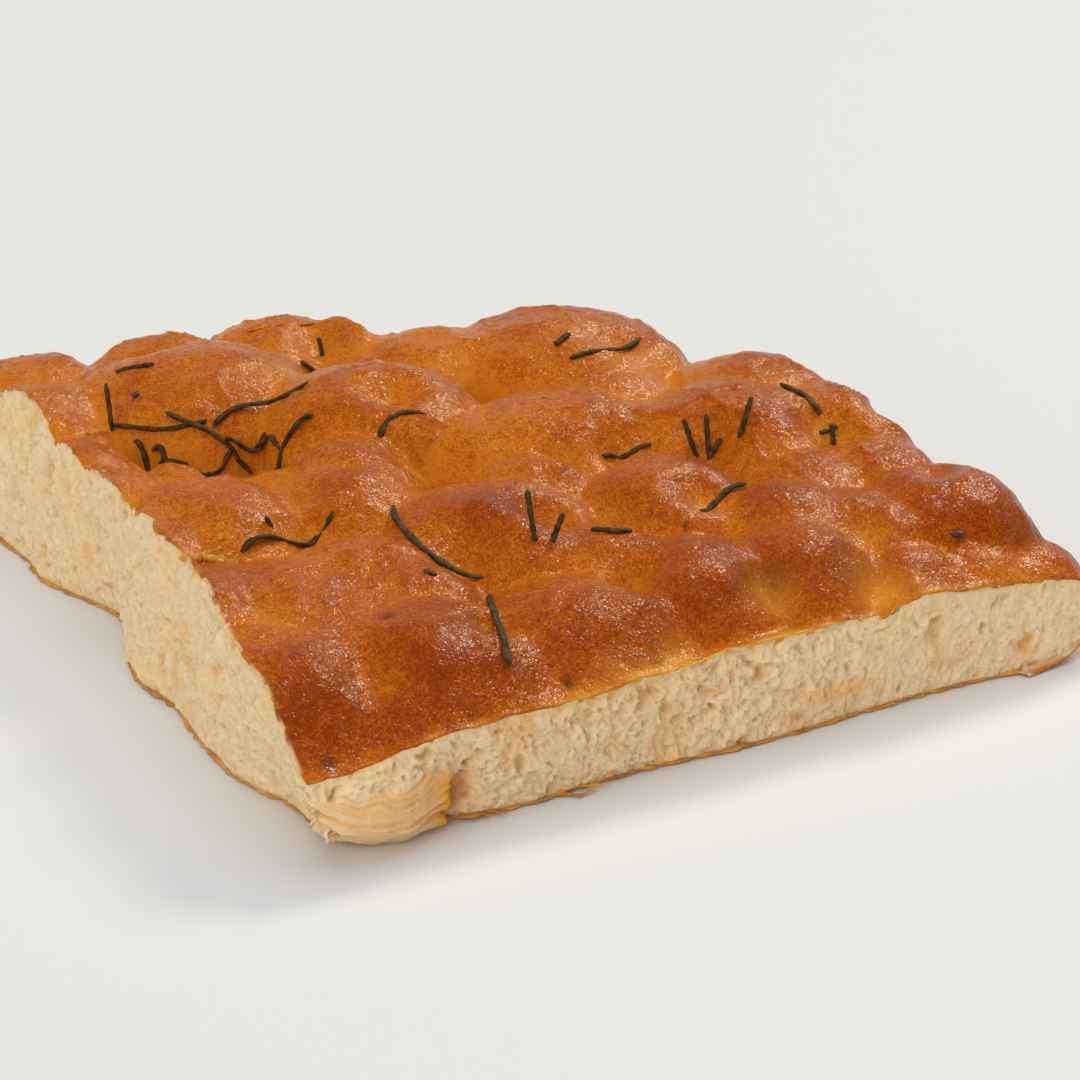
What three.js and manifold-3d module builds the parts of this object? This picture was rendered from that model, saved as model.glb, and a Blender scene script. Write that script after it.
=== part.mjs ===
// A corner piece of rosemary focaccia: two straight knife cuts in front and on the left, the baked
// edge of the loaf on the right and round the far corner, and a dimpled, domed crust on top.
//
// Millimetres, +Z up. The loaf is drawn with x along the front cut, y along the left cut and z up
// from its flat underside, and the finished group is centred over the middle of its own box.

import * as THREE from 'three';
import { mergeVertices } from 'three/addons/utils/BufferGeometryUtils.js';
import Module from 'manifold-3d';

const wasm = await Module();
wasm.setup();

// Driving dimensions of the loaf
const FRONT_LEFT = new THREE.Vector2(-15, -1);
const BAKED_EDGE_X = 218;
const FAR_CUT_Y = 249;
const CORNER_CENTRE = new THREE.Vector2(150, 176);
const CORNER_RADIUS = BAKED_EDGE_X - CORNER_CENTRE.x;
const BAKED_EDGE_HEIGHT = 15;
const BAKED_EDGE_WAVE = 2;
const BAKED_EDGE_UNDERCUT = 29;
const BAKED_SHOULDER = 19;
const FAR_NOTCH = { x: 117, width: 9, depth: 17 };
const FRONT_SHOULDER = 16;

// Scallops of the baked edge, as place, width and depth: y along the right, then angle round the corner
const SCALLOPS_ALONG_RIGHT = [[21, 7, 4.5], [54, 5, 2], [82, 8, 5], [139, 6, 3.5], [171, 6, 4]];
const SCALLOPS_ROUND_CORNER = [[0.45, 0.09, 3], [0.98, 0.12, 5], [1.36, 0.06, 2]];

// Crust height along the front cut, as x and z
const FRONT_RIM = [
  [-15, 21], [0, 22], [16, 25], [50, 25], [80, 27], [115, 28], [142, 27],
  [155, 30], [180, 26], [207, 23], [219, BAKED_EDGE_HEIGHT],
];

// Left cut, as y and x: the crust overhangs the base, and both step in beyond the middle
const LEFT_CRUST = [
  [-1, -15], [35, -12], [57, -9], [85, -6], [105, -5], [125, -1],
  [145, 5], [165, 3], [180, 0], [207, 0], [FAR_CUT_Y, -4],
];
const LEFT_BASE = [
  [2, 0], [24, -4], [54, -9], [90, -7], [112, -10], [127, -5],
  [150, 6], [168, 4], [182, -4], [215, -4], [FAR_CUT_Y - 2, -3],
];

// Domes of the crust, as x, y, reach and top height
const DOMES = [
  [-2, 40, 31, 39], [32, 16, 28, 37], [16, 62, 30, 42], [-14, 72, 27, 47], [-12, 97, 20, 48],
  [69, 17, 25, 38], [106, 19, 23, 38], [135, 19, 20, 38], [92, 51, 18, 39], [136, 43, 19, 39],
  [164, 11, 18, 36], [172, 32, 20, 42], [183, 6, 15, 34], [198, 26, 20, 44], [204, 2, 16, 33],
  [74, 88, 30, 46], [122, 74, 22, 45], [162, 66, 20, 44], [184, 60, 18, 44], [203, 60, 18, 44],
  [13, 108, 25, 47], [46, 114, 19, 43], [62, 130, 21, 47], [0, 144, 15, 37], [99, 138, 17, 47],
  [122, 124, 26, 50], [147, 112, 18, 48], [170, 100, 24, 49], [197, 96, 26, 51],
  [76, 159, 28, 50], [-2, 188, 22, 49], [47, 187, 32, 52], [118, 182, 24, 48],
  [150, 148, 22, 48], [190, 136, 24, 50], [160, 172, 29, 54], [146, 198, 24, 52],
  [80, 209, 20, 48], [92, 236, 22, 50], [110, 224, 15, 47], [46, 240, 24, 48], [12, 236, 26, 49],
];
const DOME_FLATNESS = 1.45;
const DOME_DROP = 14;
const DOME_DROP_PER_REACH = 0.15;
const DOME_BLEND = 1.6;

// Finger dimples between the domes, as x, y, reach and depth
const DIMPLES = [
  [52, 67, 10, 7], [46, 24, 6, 4], [91, 33, 8, 6], [88, 2, 9, 5], [120, 15, 8, 6], [148, 8, 9, 5],
  [87, 67, 8, 10], [104, 62, 7, 5], [30, 92, 9, 5], [37, 106, 7, 5], [75, 118, 8, 5],
  [38, 147, 11, 8], [22, 165, 9, 6], [84, 146, 8, 6], [128, 98, 8, 7], [150, 86, 9, 9],
  [129, 59, 8, 6], [184, 78, 8, 5], [121, 156, 8, 6], [17, 192, 9, 4], [157, 26, 7, 4],
  [191, 40, 7, 4], [12, 15, 11, 4], [60, 56, 8, 4], [89, 198, 8, 6], [100, 220, 8, 6],
  [43, 224, 9, 5], [112, 100, 7, 3], [165, 160, 9, 4],
];
const DIMPLE_SHARPNESS = 1.2;

// Dough level between the domes: it climbs from the front cut and again over the middle
const LEVEL_AT_FRONT = 26;
const FIRST_CLIMB = { height: 8, end: 40 };
const SECOND_CLIMB = { height: 4, start: 60, end: 200 };

// The folded lump at the foot of the near corner
const TOE = { x: 1, reach: 14, bulge: 5.5 };

// Rosemary needles: foot x and y, heading in degrees, length, sideways bow, and rise of the tip
const NEEDLES = [
  [8, 80, 28, 34, -1.3, 0], [22, 94, 20, 5, 0, 3], [53, 86, -71, 31, -4.2, 0],
  [57, 38, -118, 34, -0.5, 0], [86, 66, 140, 2, 0, 13], [87, 68, 70, 4, 0, 7],
  [100, 66, -49, 11, 0.9, 0], [73, 132, 24, 21, 6, 0], [126, 101, -3, 4, 0.8, 0],
  [130, 101, -18, 10, 0.3, 0], [150, 88, 150, 5, 0, 11], [151, 88, 60, 3, 0, 12],
  [152, 88, 10, 6, 0, 5], [158, 87, 40, 6, 0, 10], [130, 60, 11, 16, 0.4, 0],
  [147, 161, 29, 8, 0, 0], [146, 152, 12, 27, -2, 0], [185, 103, -91, 18, 0, 0],
  [183, 80, -7, 5, 0, 0], [187, 80, -126, 7, 0, 0], [16, 180, 100, 6, -1, 13],
  [16, 179, -36, 27, -0.7, 0], [29, 172, -59, 24, -3, 0], [20, 170, -100, 7, 0, 0],
  [23, 164, -32, 21, -3, 0], [39, 157, -48, 11, 0.6, 0], [47, 148, 70, 5, 0, 3],
  [47, 147, -60, 16, -2, 0], [40, 161, 17, 30, -2.4, 0], [37, 227, 3, 12, 1.5, 0],
  [85, 204, -26, 7, 0, 0], [103, 226, -115, 5, 0, 0],
];
const NEEDLE_RADIUS = 1.1;
const NEEDLE_SIDES = 5;
const NEEDLE_STEP = 5;
const NEEDLE_FLOAT = 0.25;
const NEEDLE_DIP = 1.2;
const NEEDLE_TAPER = 0.45;

// Fineness of the faceted solid
const CELLS_ACROSS = 48;
const CELLS_DEEP = 54;
const WALL_RINGS = 6;
const CUT_RELIEF = 0.7;
const RELIEF_SEED = 11;

// Colours
const CRUST_COLOUR = 0xb9672c;
const CRUST_ROUGHNESS = 0.45;

// Smooth step from 0 at a to 1 at b
function ramp(a, b, value) {
  return THREE.MathUtils.smoothstep(value, a, b);
}

// Straight-line reading of a table of [position, value] rows
function lookUp(table, position) {
  const last = table.length - 1;
  if (position <= table[0][0]) return table[0][1];
  if (position >= table[last][0]) return table[last][1];
  const i = table.findIndex((row) => row[0] >= position);
  const [p0, v0] = table[i - 1];
  const [p1, v1] = table[i];
  return v0 + (v1 - v0) * (position - p0) / (p1 - p0);
}

// A soft notch of depth 1 at the centre, fading over the width
function notch(position, centre, width) {
  const t = (position - centre) / width;
  return Math.exp(-t * t);
}

// Random numbers from a seed, 0 to 1
function seededRandom(seed) {
  let state = seed;
  return () => {
    state = (state * 1664525 + 1013904223) % 4294967296;
    return state / 4294967296;
  };
}

// How far the scallops of one list cut in at a place
function scallops(list, place) {
  return list.reduce((sum, [at, width, depth]) => sum + depth * notch(place, at, width), 0);
}

// The baked edge's x at depth y, scalloped where two domes meet
function bakedEdgeX(y) {
  return BAKED_EDGE_X - scallops(SCALLOPS_ALONG_RIGHT, y);
}

// The rounded corner's radius at an angle from the right-hand side, scalloped the same way
function cornerRadius(angle) {
  return CORNER_RADIUS - scallops(SCALLOPS_ROUND_CORNER, angle);
}

// Height at which the baked edge reaches furthest out
function bakedEdgeHeight(x, y) {
  return BAKED_EDGE_HEIGHT + BAKED_EDGE_WAVE * Math.sin(y / 23) * Math.sin((x + y) / 31);
}

// The far edge's y at x: straight to a sharp corner, then a notch before the baked corner
function farEdgeY(x) {
  const top = THREE.MathUtils.lerp(FAR_CUT_Y, CORNER_CENTRE.y + CORNER_RADIUS, x / CORNER_CENTRE.x);
  const t = (x - FAR_NOTCH.x) / FAR_NOTCH.width;
  return top - FAR_NOTCH.depth * Math.exp(-(Math.abs(t) ** 2.6)) - 0.6 * Math.sin(x / 6);
}

// Distance inwards from the baked edge; large where the nearest edge is a cut
function bakedInset(x, y) {
  const dx = x - CORNER_CENTRE.x;
  const dy = y - CORNER_CENTRE.y;
  if (dy <= 0) return bakedEdgeX(y) - x;
  if (dx > 0) return cornerRadius(Math.atan2(dy, dx)) - Math.hypot(dx, dy);
  return (farEdgeY(x) - y) / Math.max(bakedShare(x), 0.01);
}

// How far a point of the far edge belongs to the baked edge, 0 to 1
function bakedShare(x) {
  return ramp(FAR_NOTCH.x - 11, FAR_NOTCH.x - 3, x);
}

// Height of the domes, dimples and creases, without the edges
function crustHeight(x, y) {
  const climb = FIRST_CLIMB.height * ramp(0, FIRST_CLIMB.end, y)
    + SECOND_CLIMB.height * ramp(SECOND_CLIMB.start, SECOND_CLIMB.end, y);
  let sum = Math.exp((LEVEL_AT_FRONT + climb) / DOME_BLEND);
  for (const [cx, cy, reach, top] of DOMES) {
    const q = ((x - cx) ** 2 + (y - cy) ** 2) / (reach * reach);
    if (q >= DOME_FLATNESS) continue;
    const drop = (DOME_DROP + DOME_DROP_PER_REACH * reach) * (1 - Math.sqrt(1 - q / DOME_FLATNESS));
    sum += Math.exp((top - drop) / DOME_BLEND);
  }
  let z = DOME_BLEND * Math.log(sum);
  for (const [cx, cy, reach, depth] of DIMPLES) {
    const q = ((x - cx) ** 2 + (y - cy) ** 2) / (reach * reach);
    z -= depth * Math.exp(-q * DIMPLE_SHARPNESS);
  }
  return z;
}

// Height of the finished top, brought down to the rim at the front cut and round the baked edge
function topHeight(x, y) {
  const rim = lookUp(FRONT_RIM, x);
  const front = THREE.MathUtils.clamp(y / FRONT_SHOULDER, 0, 1);
  const z = rim + (crustHeight(x, y) - rim) * (1 - (1 - front) ** 2);
  const side = THREE.MathUtils.clamp(bakedInset(x, y) / BAKED_SHOULDER, 0, 1);
  const low = bakedEdgeHeight(x, y);
  return low + (z - low) * Math.sqrt(1 - (1 - side) ** 2);
}

// Columns lie closer together near the baked edge, where the crust turns down steeply
function acrossShare(i) {
  const t = i / CELLS_ACROSS;
  return t + 0.055 * Math.sin(Math.PI * t) ** 2 * t * 2;
}

// Rows lie closer together near the front cut, where the crust climbs from its rim
function deepShare(j) {
  const t = j / CELLS_DEEP;
  return t - 0.05 * Math.sin(Math.PI * t) ** 2 * (1 - t) * 2;
}

// Four sides of the crust's outline, each from 0 to 1
const crustSides = {
  front: (u) => new THREE.Vector2(
    THREE.MathUtils.lerp(FRONT_LEFT.x, bakedEdgeX(0), u),
    FRONT_LEFT.y * (1 - u) + 0.5 * Math.sin(u * 31) * u * (1 - u) * 4,
  ),
  left: (v) => {
    const y = THREE.MathUtils.lerp(FRONT_LEFT.y, FAR_CUT_Y, v);
    return new THREE.Vector2(lookUp(LEFT_CRUST, y), y);
  },
  right: (v) => {
    const straight = CORNER_CENTRE.y;
    const arc = CORNER_RADIUS * Math.PI / 4;
    const run = v * (straight + arc);
    if (run <= straight) return new THREE.Vector2(bakedEdgeX(run), run);
    return cornerPoint((run - straight) / CORNER_RADIUS);
  },
  far: (u) => {
    const left = LEFT_CRUST[LEFT_CRUST.length - 1][1];
    const straight = CORNER_CENTRE.x - left;
    const arc = CORNER_RADIUS * Math.PI / 4;
    const run = u * (straight + arc);
    if (run <= straight) {
      const x = left + run;
      return new THREE.Vector2(x, THREE.MathUtils.lerp(FAR_CUT_Y, farEdgeY(x), Math.min(1, run / 5)));
    }
    return cornerPoint(Math.PI / 2 - (run - straight) / CORNER_RADIUS);
  },
};

function cornerPoint(angle) {
  const r = cornerRadius(angle);
  return new THREE.Vector2(
    CORNER_CENTRE.x + r * Math.cos(angle),
    CORNER_CENTRE.y + r * Math.sin(angle),
  );
}

// A point inside the outline, blended from its four sides
function insidePoint(u, v) {
  const corner = [crustSides.front(0), crustSides.front(1), crustSides.far(0), crustSides.far(1)];
  const p = new THREE.Vector2();
  p.addScaledVector(crustSides.front(u), 1 - v);
  p.addScaledVector(crustSides.far(u), v);
  p.addScaledVector(crustSides.left(v), 1 - u);
  p.addScaledVector(crustSides.right(v), u);
  p.addScaledVector(corner[0], -(1 - u) * (1 - v));
  p.addScaledVector(corner[1], -u * (1 - v));
  p.addScaledVector(corner[2], -(1 - u) * v);
  p.addScaledVector(corner[3], -u * v);
  return p;
}

// The base line's point under a point of the crust's outline, and how round the wall is there
function basePoint(edge, side) {
  if (side === 'left') {
    const y = THREE.MathUtils.mapLinear(edge.y, FRONT_LEFT.y, FAR_CUT_Y, 2, FAR_CUT_Y - 2);
    return { point: new THREE.Vector2(lookUp(LEFT_BASE, y), y), round: 0 };
  }
  const inner = new THREE.Vector2(CORNER_CENTRE.x, Math.min(edge.y, CORNER_CENTRE.y));
  const inwards = inner.sub(edge).normalize();
  if (side === 'front') {
    const share = ramp(BAKED_EDGE_X - 24, BAKED_EDGE_X - 4, edge.x);
    const baseRight = BAKED_EDGE_X - BAKED_EDGE_UNDERCUT;
    const x = THREE.MathUtils.mapLinear(edge.x, FRONT_LEFT.x, bakedEdgeX(0), 0, baseRight);
    return { point: new THREE.Vector2(x, 2 + 1.4 * Math.sin(x / 17)), round: share };
  }
  const round = side === 'right' ? 1 : bakedShare(edge.x);
  if (side === 'far' && edge.x < CORNER_CENTRE.x) {
    return { point: new THREE.Vector2(edge.x, edge.y - 2 - (BAKED_EDGE_UNDERCUT - 6) * round), round };
  }
  return { point: edge.clone().addScaledVector(inwards, BAKED_EDGE_UNDERCUT), round };
}

// One point of the wall, a share of the way up from the base line to the crust
function wallPoint(edge, base, round, share, relief) {
  const toe = notch(edge.x, TOE.x, TOE.reach) * notch(edge.y, FRONT_LEFT.y, TOE.reach);
  const turn = Math.max(round, Math.min(1, toe * 1.6));
  const angle = share * Math.PI / 2;
  const out = THREE.MathUtils.lerp(share, Math.sin(angle) ** 0.8, turn);
  const up = THREE.MathUtils.lerp(share, 1 - Math.cos(angle), round);
  const belly = Math.sin(share * Math.PI);
  const x = THREE.MathUtils.lerp(base.x, edge.x, out) + relief * belly * (1 - round);
  const y = THREE.MathUtils.lerp(base.y, edge.y, out) + relief * belly * (1 - round) - TOE.bulge * toe * belly;
  return new THREE.Vector3(x, y, edge.z * up);
}

// The loaf: a domed top, walls that follow both outlines, and a flat underside
function loafGeometry() {
  const random = seededRandom(RELIEF_SEED);
  const positions = [];
  const faces = [];
  const add = (p) => positions.push(p.x, p.y, p.z) / 3 - 1;

  const rows = [];
  for (let j = 0; j <= CELLS_DEEP; j += 1) {
    const row = [];
    for (let i = 0; i <= CELLS_ACROSS; i += 1) {
      const p = insidePoint(acrossShare(i), deepShare(j));
      row.push(add(new THREE.Vector3(p.x, p.y, topHeight(p.x, p.y))));
    }
    rows.push(row);
  }
  for (let j = 0; j < CELLS_DEEP; j += 1) {
    for (let i = 0; i < CELLS_ACROSS; i += 1) {
      const [a, b, c, d] = [rows[j][i], rows[j][i + 1], rows[j + 1][i + 1], rows[j + 1][i]];
      if ((i + j) % 2 === 0) faces.push(a, b, c, a, c, d);
      else faces.push(a, b, d, b, c, d);
    }
  }

  const border = [];
  for (let i = 0; i < CELLS_ACROSS; i += 1) border.push([rows[0][i], 'front']);
  for (let j = 0; j < CELLS_DEEP; j += 1) border.push([rows[j][CELLS_ACROSS], 'right']);
  for (let i = CELLS_ACROSS; i > 0; i -= 1) border.push([rows[CELLS_DEEP][i], 'far']);
  for (let j = CELLS_DEEP; j > 0; j -= 1) border.push([rows[j][0], 'left']);

  const columns = border.map(([index, side]) => {
    const edge = new THREE.Vector3().fromArray(positions, index * 3);
    const { point, round } = basePoint(new THREE.Vector2(edge.x, edge.y), side);
    const column = [];
    for (let k = 0; k < WALL_RINGS; k += 1) {
      const relief = (random() - 0.5) * 2 * CUT_RELIEF;
      column.push(add(wallPoint(edge, point, round, k / WALL_RINGS, relief)));
    }
    column.push(index);
    return column;
  });
  columns.forEach((column, n) => {
    const next = columns[(n + 1) % columns.length];
    for (let k = 0; k < WALL_RINGS; k += 1) {
      faces.push(column[k], next[k], next[k + 1], column[k], next[k + 1], column[k + 1]);
    }
  });

  const outline = columns.map((column) => {
    return new THREE.Vector2(positions[column[0] * 3], positions[column[0] * 3 + 1]);
  });
  for (const [a, b, c] of THREE.ShapeUtils.triangulateShape(outline, [])) {
    faces.push(columns[a][0], columns[c][0], columns[b][0]);
  }
  return indexedGeometry(positions, faces);
}

// One needle: a thin tapered tube along a bowed path, lying on the crust or rising from it
function needleGeometry([x, y, heading, length, bow, rise]) {
  const along = new THREE.Vector2(Math.cos(THREE.MathUtils.degToRad(heading)), 0);
  along.y = Math.sin(THREE.MathUtils.degToRad(heading));
  const across = new THREE.Vector2(-along.y, along.x);
  const foot = topHeight(x, y);
  const steps = Math.max(3, Math.ceil((length + rise) / NEEDLE_STEP));
  const path = [];
  for (let k = 0; k <= steps; k += 1) {
    const t = k / steps;
    const side = bow * 4 * t * (1 - t);
    const px = x + along.x * length * t + across.x * side;
    const py = y + along.y * length * t + across.y * side;
    const level = rise > 0 ? foot + rise * t - NEEDLE_DIP : topHeight(px, py) + NEEDLE_FLOAT;
    path.push(new THREE.Vector3(px, py, level));
  }
  return tubeGeometry(path);
}

// A closed tube round a path of points, narrower at both ends
function tubeGeometry(path) {
  const positions = [];
  const faces = [];
  const last = path.length - 1;
  path.forEach((point, k) => {
    const ahead = path[Math.min(k + 1, last)].clone().sub(path[Math.max(k - 1, 0)]).normalize();
    const steep = Math.abs(ahead.z) > 0.8;
    const helper = steep ? new THREE.Vector3(1, 0, 0) : new THREE.Vector3(0, 0, 1);
    const right = new THREE.Vector3().crossVectors(ahead, helper).normalize();
    const up = new THREE.Vector3().crossVectors(right, ahead);
    const radius = NEEDLE_RADIUS * (k === 0 || k === last ? NEEDLE_TAPER : 1);
    for (let s = 0; s < NEEDLE_SIDES; s += 1) {
      const angle = 2 * Math.PI * s / NEEDLE_SIDES;
      const p = point.clone();
      p.addScaledVector(right, radius * Math.cos(angle));
      p.addScaledVector(up, radius * Math.sin(angle));
      positions.push(p.x, p.y, p.z);
    }
  });
  for (let k = 0; k < last; k += 1) {
    for (let s = 0; s < NEEDLE_SIDES; s += 1) {
      const a = k * NEEDLE_SIDES + s;
      const b = k * NEEDLE_SIDES + (s + 1) % NEEDLE_SIDES;
      const c = b + NEEDLE_SIDES;
      const d = a + NEEDLE_SIDES;
      faces.push(a, c, b, a, d, c);
    }
  }
  for (let s = 1; s < NEEDLE_SIDES - 1; s += 1) {
    faces.push(0, s, s + 1);
    const end = last * NEEDLE_SIDES;
    faces.push(end, end + s + 1, end + s);
  }
  return indexedGeometry(positions, faces);
}

function indexedGeometry(positions, faces) {
  const geometry = new THREE.BufferGeometry();
  geometry.setAttribute('position', new THREE.Float32BufferAttribute(positions, 3));
  geometry.setIndex(faces);
  return geometry;
}

// Turn a geometry into a solid that can be joined, and back
function toSolid(geometry) {
  const merged = mergeVertices(geometry, 1e-4);
  return new wasm.Manifold(new wasm.Mesh({
    numProp: 3,
    vertProperties: new Float32Array(merged.attributes.position.array),
    triVerts: new Uint32Array(merged.index.array),
  }));
}

function toGeometry(solid) {
  const mesh = solid.getMesh();
  return indexedGeometry(Array.from(mesh.vertProperties), Array.from(mesh.triVerts));
}

function focaccia() {
  let solid = toSolid(loafGeometry());
  for (const row of NEEDLES) solid = solid.add(toSolid(needleGeometry(row)));
  const geometry = toGeometry(solid);
  geometry.computeVertexNormals();
  const material = new THREE.MeshStandardMaterial({
    color: CRUST_COLOUR,
    roughness: CRUST_ROUGHNESS,
    metalness: 0,
  });
  const mesh = new THREE.Mesh(geometry, material);
  mesh.name = 'focaccia';
  return mesh;
}

const loaf = focaccia();
const box = new THREE.Box3().setFromObject(loaf);
const middle = box.getCenter(new THREE.Vector3());
loaf.position.set(-middle.x, -middle.y, -box.min.z);

const group = new THREE.Group();
group.add(loaf);

export default group;
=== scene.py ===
import math

import bpy
import numpy as np
from bpy.props import FloatProperty, FloatVectorProperty, IntProperty, PointerProperty
from mathutils import Color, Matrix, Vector


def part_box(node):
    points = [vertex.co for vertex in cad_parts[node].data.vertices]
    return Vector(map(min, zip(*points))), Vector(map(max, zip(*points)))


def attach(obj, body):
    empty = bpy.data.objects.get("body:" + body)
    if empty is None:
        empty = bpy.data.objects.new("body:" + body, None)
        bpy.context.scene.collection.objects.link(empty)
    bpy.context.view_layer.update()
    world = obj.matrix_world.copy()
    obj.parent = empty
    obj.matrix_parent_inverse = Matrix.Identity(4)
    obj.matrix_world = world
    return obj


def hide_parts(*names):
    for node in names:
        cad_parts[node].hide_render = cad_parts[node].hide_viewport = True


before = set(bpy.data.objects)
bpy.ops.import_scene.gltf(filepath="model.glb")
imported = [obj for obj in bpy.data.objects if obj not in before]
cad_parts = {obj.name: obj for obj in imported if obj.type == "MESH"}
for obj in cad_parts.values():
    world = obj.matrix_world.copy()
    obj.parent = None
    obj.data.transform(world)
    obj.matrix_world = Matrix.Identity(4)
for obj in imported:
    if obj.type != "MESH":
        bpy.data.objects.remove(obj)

bl_info = {
    "name": "Rosemary focaccia",
    "version": (1, 0, 0),
    "blender": (4, 5, 0),
    "location": "View3D > Sidebar > Focaccia",
    "description": "Makes the crust, crumb, base and rosemary of a cut corner piece of focaccia",
    "category": "Object",
}

MM = 0.001
NODE = "focaccia"
BODY = "root"

# The loaf is drawn in millimetres: x along the front cut, y along the left cut, z up from the
# table. The frame's box gives where that drawing's corner lies in the frame.
FRONT_LEFT = np.array([-15.0, -1.0])
BAKED_EDGE_X = 218.0
FAR_CUT_Y = 249.0
CORNER_CENTRE = np.array([150.0, 176.0])
CORNER_RADIUS = BAKED_EDGE_X - CORNER_CENTRE[0]
NOTCH_X, NOTCH_WIDTH, NOTCH_DEPTH = 117.0, 9.0, 17.0
FAR_CUT_END = 106.0
MIDDLE = np.array([105.0, 120.0])
NODE_LOW, NODE_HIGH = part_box(NODE)
ORIGIN = np.array([NODE_LOW.x / MM - FRONT_LEFT[0], NODE_HIGH.y / MM - FAR_CUT_Y, NODE_LOW.z / MM])

# Scallops of the baked edge, as place, width and depth: y along the right, then angle round the corner
SCALLOPS_ALONG_RIGHT = [(21, 7, 4.5), (54, 5, 2), (82, 8, 5), (139, 6, 3.5), (171, 6, 4)]
SCALLOPS_ROUND_CORNER = [(0.45, 0.09, 3), (0.98, 0.12, 5), (1.36, 0.06, 2)]

# Crust height along the front cut, as x and z
FRONT_RIM = [
    (-15, 21), (0, 22), (16, 25), (50, 25), (80, 27), (115, 28), (142, 27),
    (155, 30), (180, 26), (207, 23), (219, 15),
]

# Left cut, as y and x, for the crust and for the base line
LEFT_CRUST = [
    (-1, -15), (11, -15), (34, -14), (57, -10), (70, -8), (89, -4), (98, -7), (106, -4),
    (118, -3), (126, -2), (140, -3), (160, -2), (176, -1), (187, 0), (207, 2), (FAR_CUT_Y, -2),
]
LEFT_BASE = [
    (14, -4), (32, -5), (39, -8), (51, -10), (71, -9), (94, -6), (109, -8), (122, -6), (133, -2),
    (145, 3), (154, 5), (164, 3), (177, -1), (190, -4), (203, -2), (FAR_CUT_Y - 2, -3),
]

# Base line of the front cut, as x and y, from the round toe of the corner to the baked edge
FRONT_BASE = [
    (-4, 14), (-2, 9), (3, 4), (9, 2.5), (16, 5), (19, 7), (23, 5), (30, 3), (45, 2), (60, 3),
    (80, 3), (100, 1), (120, 1), (140, 2), (160, 2.5), (176, 2), (189, 0),
]

# Domes of the crust, as x, y, reach and top height
DOMES = [
    (-4, 38, 30, 40), (30, 26, 27, 41), (14, 62, 32, 42), (36, 71, 22, 43), (44, 58, 17, 41),
    (-14, 72, 24, 46), (-8, 102, 17, 47), (71, 26, 25, 40), (108, 32, 22, 41), (138, 28, 20, 41),
    (94, 48, 17, 42),
    (162, 10, 16, 37), (163, 36, 19, 42), (182, 8, 15, 36), (190, 34, 22, 45), (203, 3, 16, 35),
    (76, 75, 28, 47), (100, 95, 16, 46), (126, 72, 22, 47), (148, 50, 18, 44), (168, 66, 19, 44),
    (188, 63, 18, 45), (13, 112, 24, 49), (49, 108, 20, 47), (62, 124, 18, 49),
    (-3, 141, 18, 47), (1, 167, 18, 46),
    (22, 146, 15, 43), (40, 137, 15, 43), (101, 127, 18, 48), (124, 123, 27, 51), (146, 112, 16, 48),
    (168, 100, 27, 52), (198, 92, 23, 50), (192, 122, 26, 51), (84, 156, 27, 56), (4, 203, 24, 50),
    (50, 199, 32, 55), (124, 192, 24, 51), (150, 145, 22, 50), (158, 175, 32, 55), (78, 205, 18, 48),
    (92, 233, 22, 49), (110, 222, 16, 50), (56, 237, 22, 48), (14, 237, 24, 48),
]
DOME_FLATNESS = 1.45
DOME_DROP = 14.0
DOME_DROP_PER_REACH = 0.15

# Finger dimples between the domes, as x, y, reach and depth
DIMPLES = [
    (60, 63, 9, 7), (46, 24, 6, 4), (91, 33, 8, 6), (88, 2, 9, 5), (120, 15, 8, 6), (148, 8, 9, 5),
    (87, 67, 8, 10), (104, 62, 7, 5), (30, 92, 9, 3), (37, 106, 7, 2), (75, 118, 8, 5),
    (38, 147, 11, 8), (-5, 121, 6, 4), (22, 165, 9, 6), (84, 146, 8, 6), (128, 98, 8, 7), (150, 86, 9, 9),
    (129, 59, 8, 6), (184, 78, 8, 5), (121, 156, 8, 6), (17, 192, 9, 4), (157, 26, 7, 4),
    (191, 40, 7, 4), (13, 20, 10, 5.5), (60, 56, 8, 4), (89, 198, 8, 6), (100, 220, 8, 6),
    (43, 224, 9, 5), (112, 100, 7, 3), (165, 160, 9, 4),
]
DIMPLE_SHARPNESS = 1.2

# Rosemary needles: foot x and y, heading in degrees, length, sideways bow, and rise of the tip
NEEDLES = [
    (11, 87, 14, 30, 0.5, 0), (23, 93, 149, 2, 0, 4), (56, 92, -83, 40, -7.5, 0),
    (56, 43, -113, 38, -0.6, 0), (75, 53, 149, 2, 0, 13), (79, 52, -31, 3, 0, 7),
    (92, 54, -39, 10, -2, 0), (72, 129, 7, 16, 3.5, 0), (125, 100, -1, 4, 0.9, 0),
    (129, 100, -9, 10, 0, 0), (148, 89, 149, 4, 0, 11), (151, 88, 149, 1, 0, 12),
    (150, 88, -31, 4, 0, 6), (158, 84, -31, 3, 0, 11), (125, 53, 19, 19, 2.3, 0),
    (146, 160, 27, 8, 0, 0), (146, 152, 13, 29, -2, 0), (187, 105, -93, 20, 0, 0),
    (183, 81, -7, 5, 0, 0), (185, 77, 149, 1, 0, 6), (18, 185, 149, 1, 0, 13),
    (18, 185, -40, 27, -3, 0), (30, 175, -42, 24, -2, 0), (21, 176, -71, 6, 0, 0),
    (24, 172, -60, 5, 1, 0), (25, 170, -26, 20, -1.6, 0), (42, 163, -13, 11, -0.8, 0),
    (50, 161, -50, 4, 0, 3), (53, 150, 104, 5, 0.5, 2), (50, 152, -28, 12, -1, 0),
    (40, 166, -10, 27, 4.5, 0), (28, 205, -34, 11, 0, 0), (86, 205, -26, 7, 0, 0),
    (100, 219, 149, 1, 0, 5), (44, 53, -75, 3, 0, 0),
]

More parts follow.
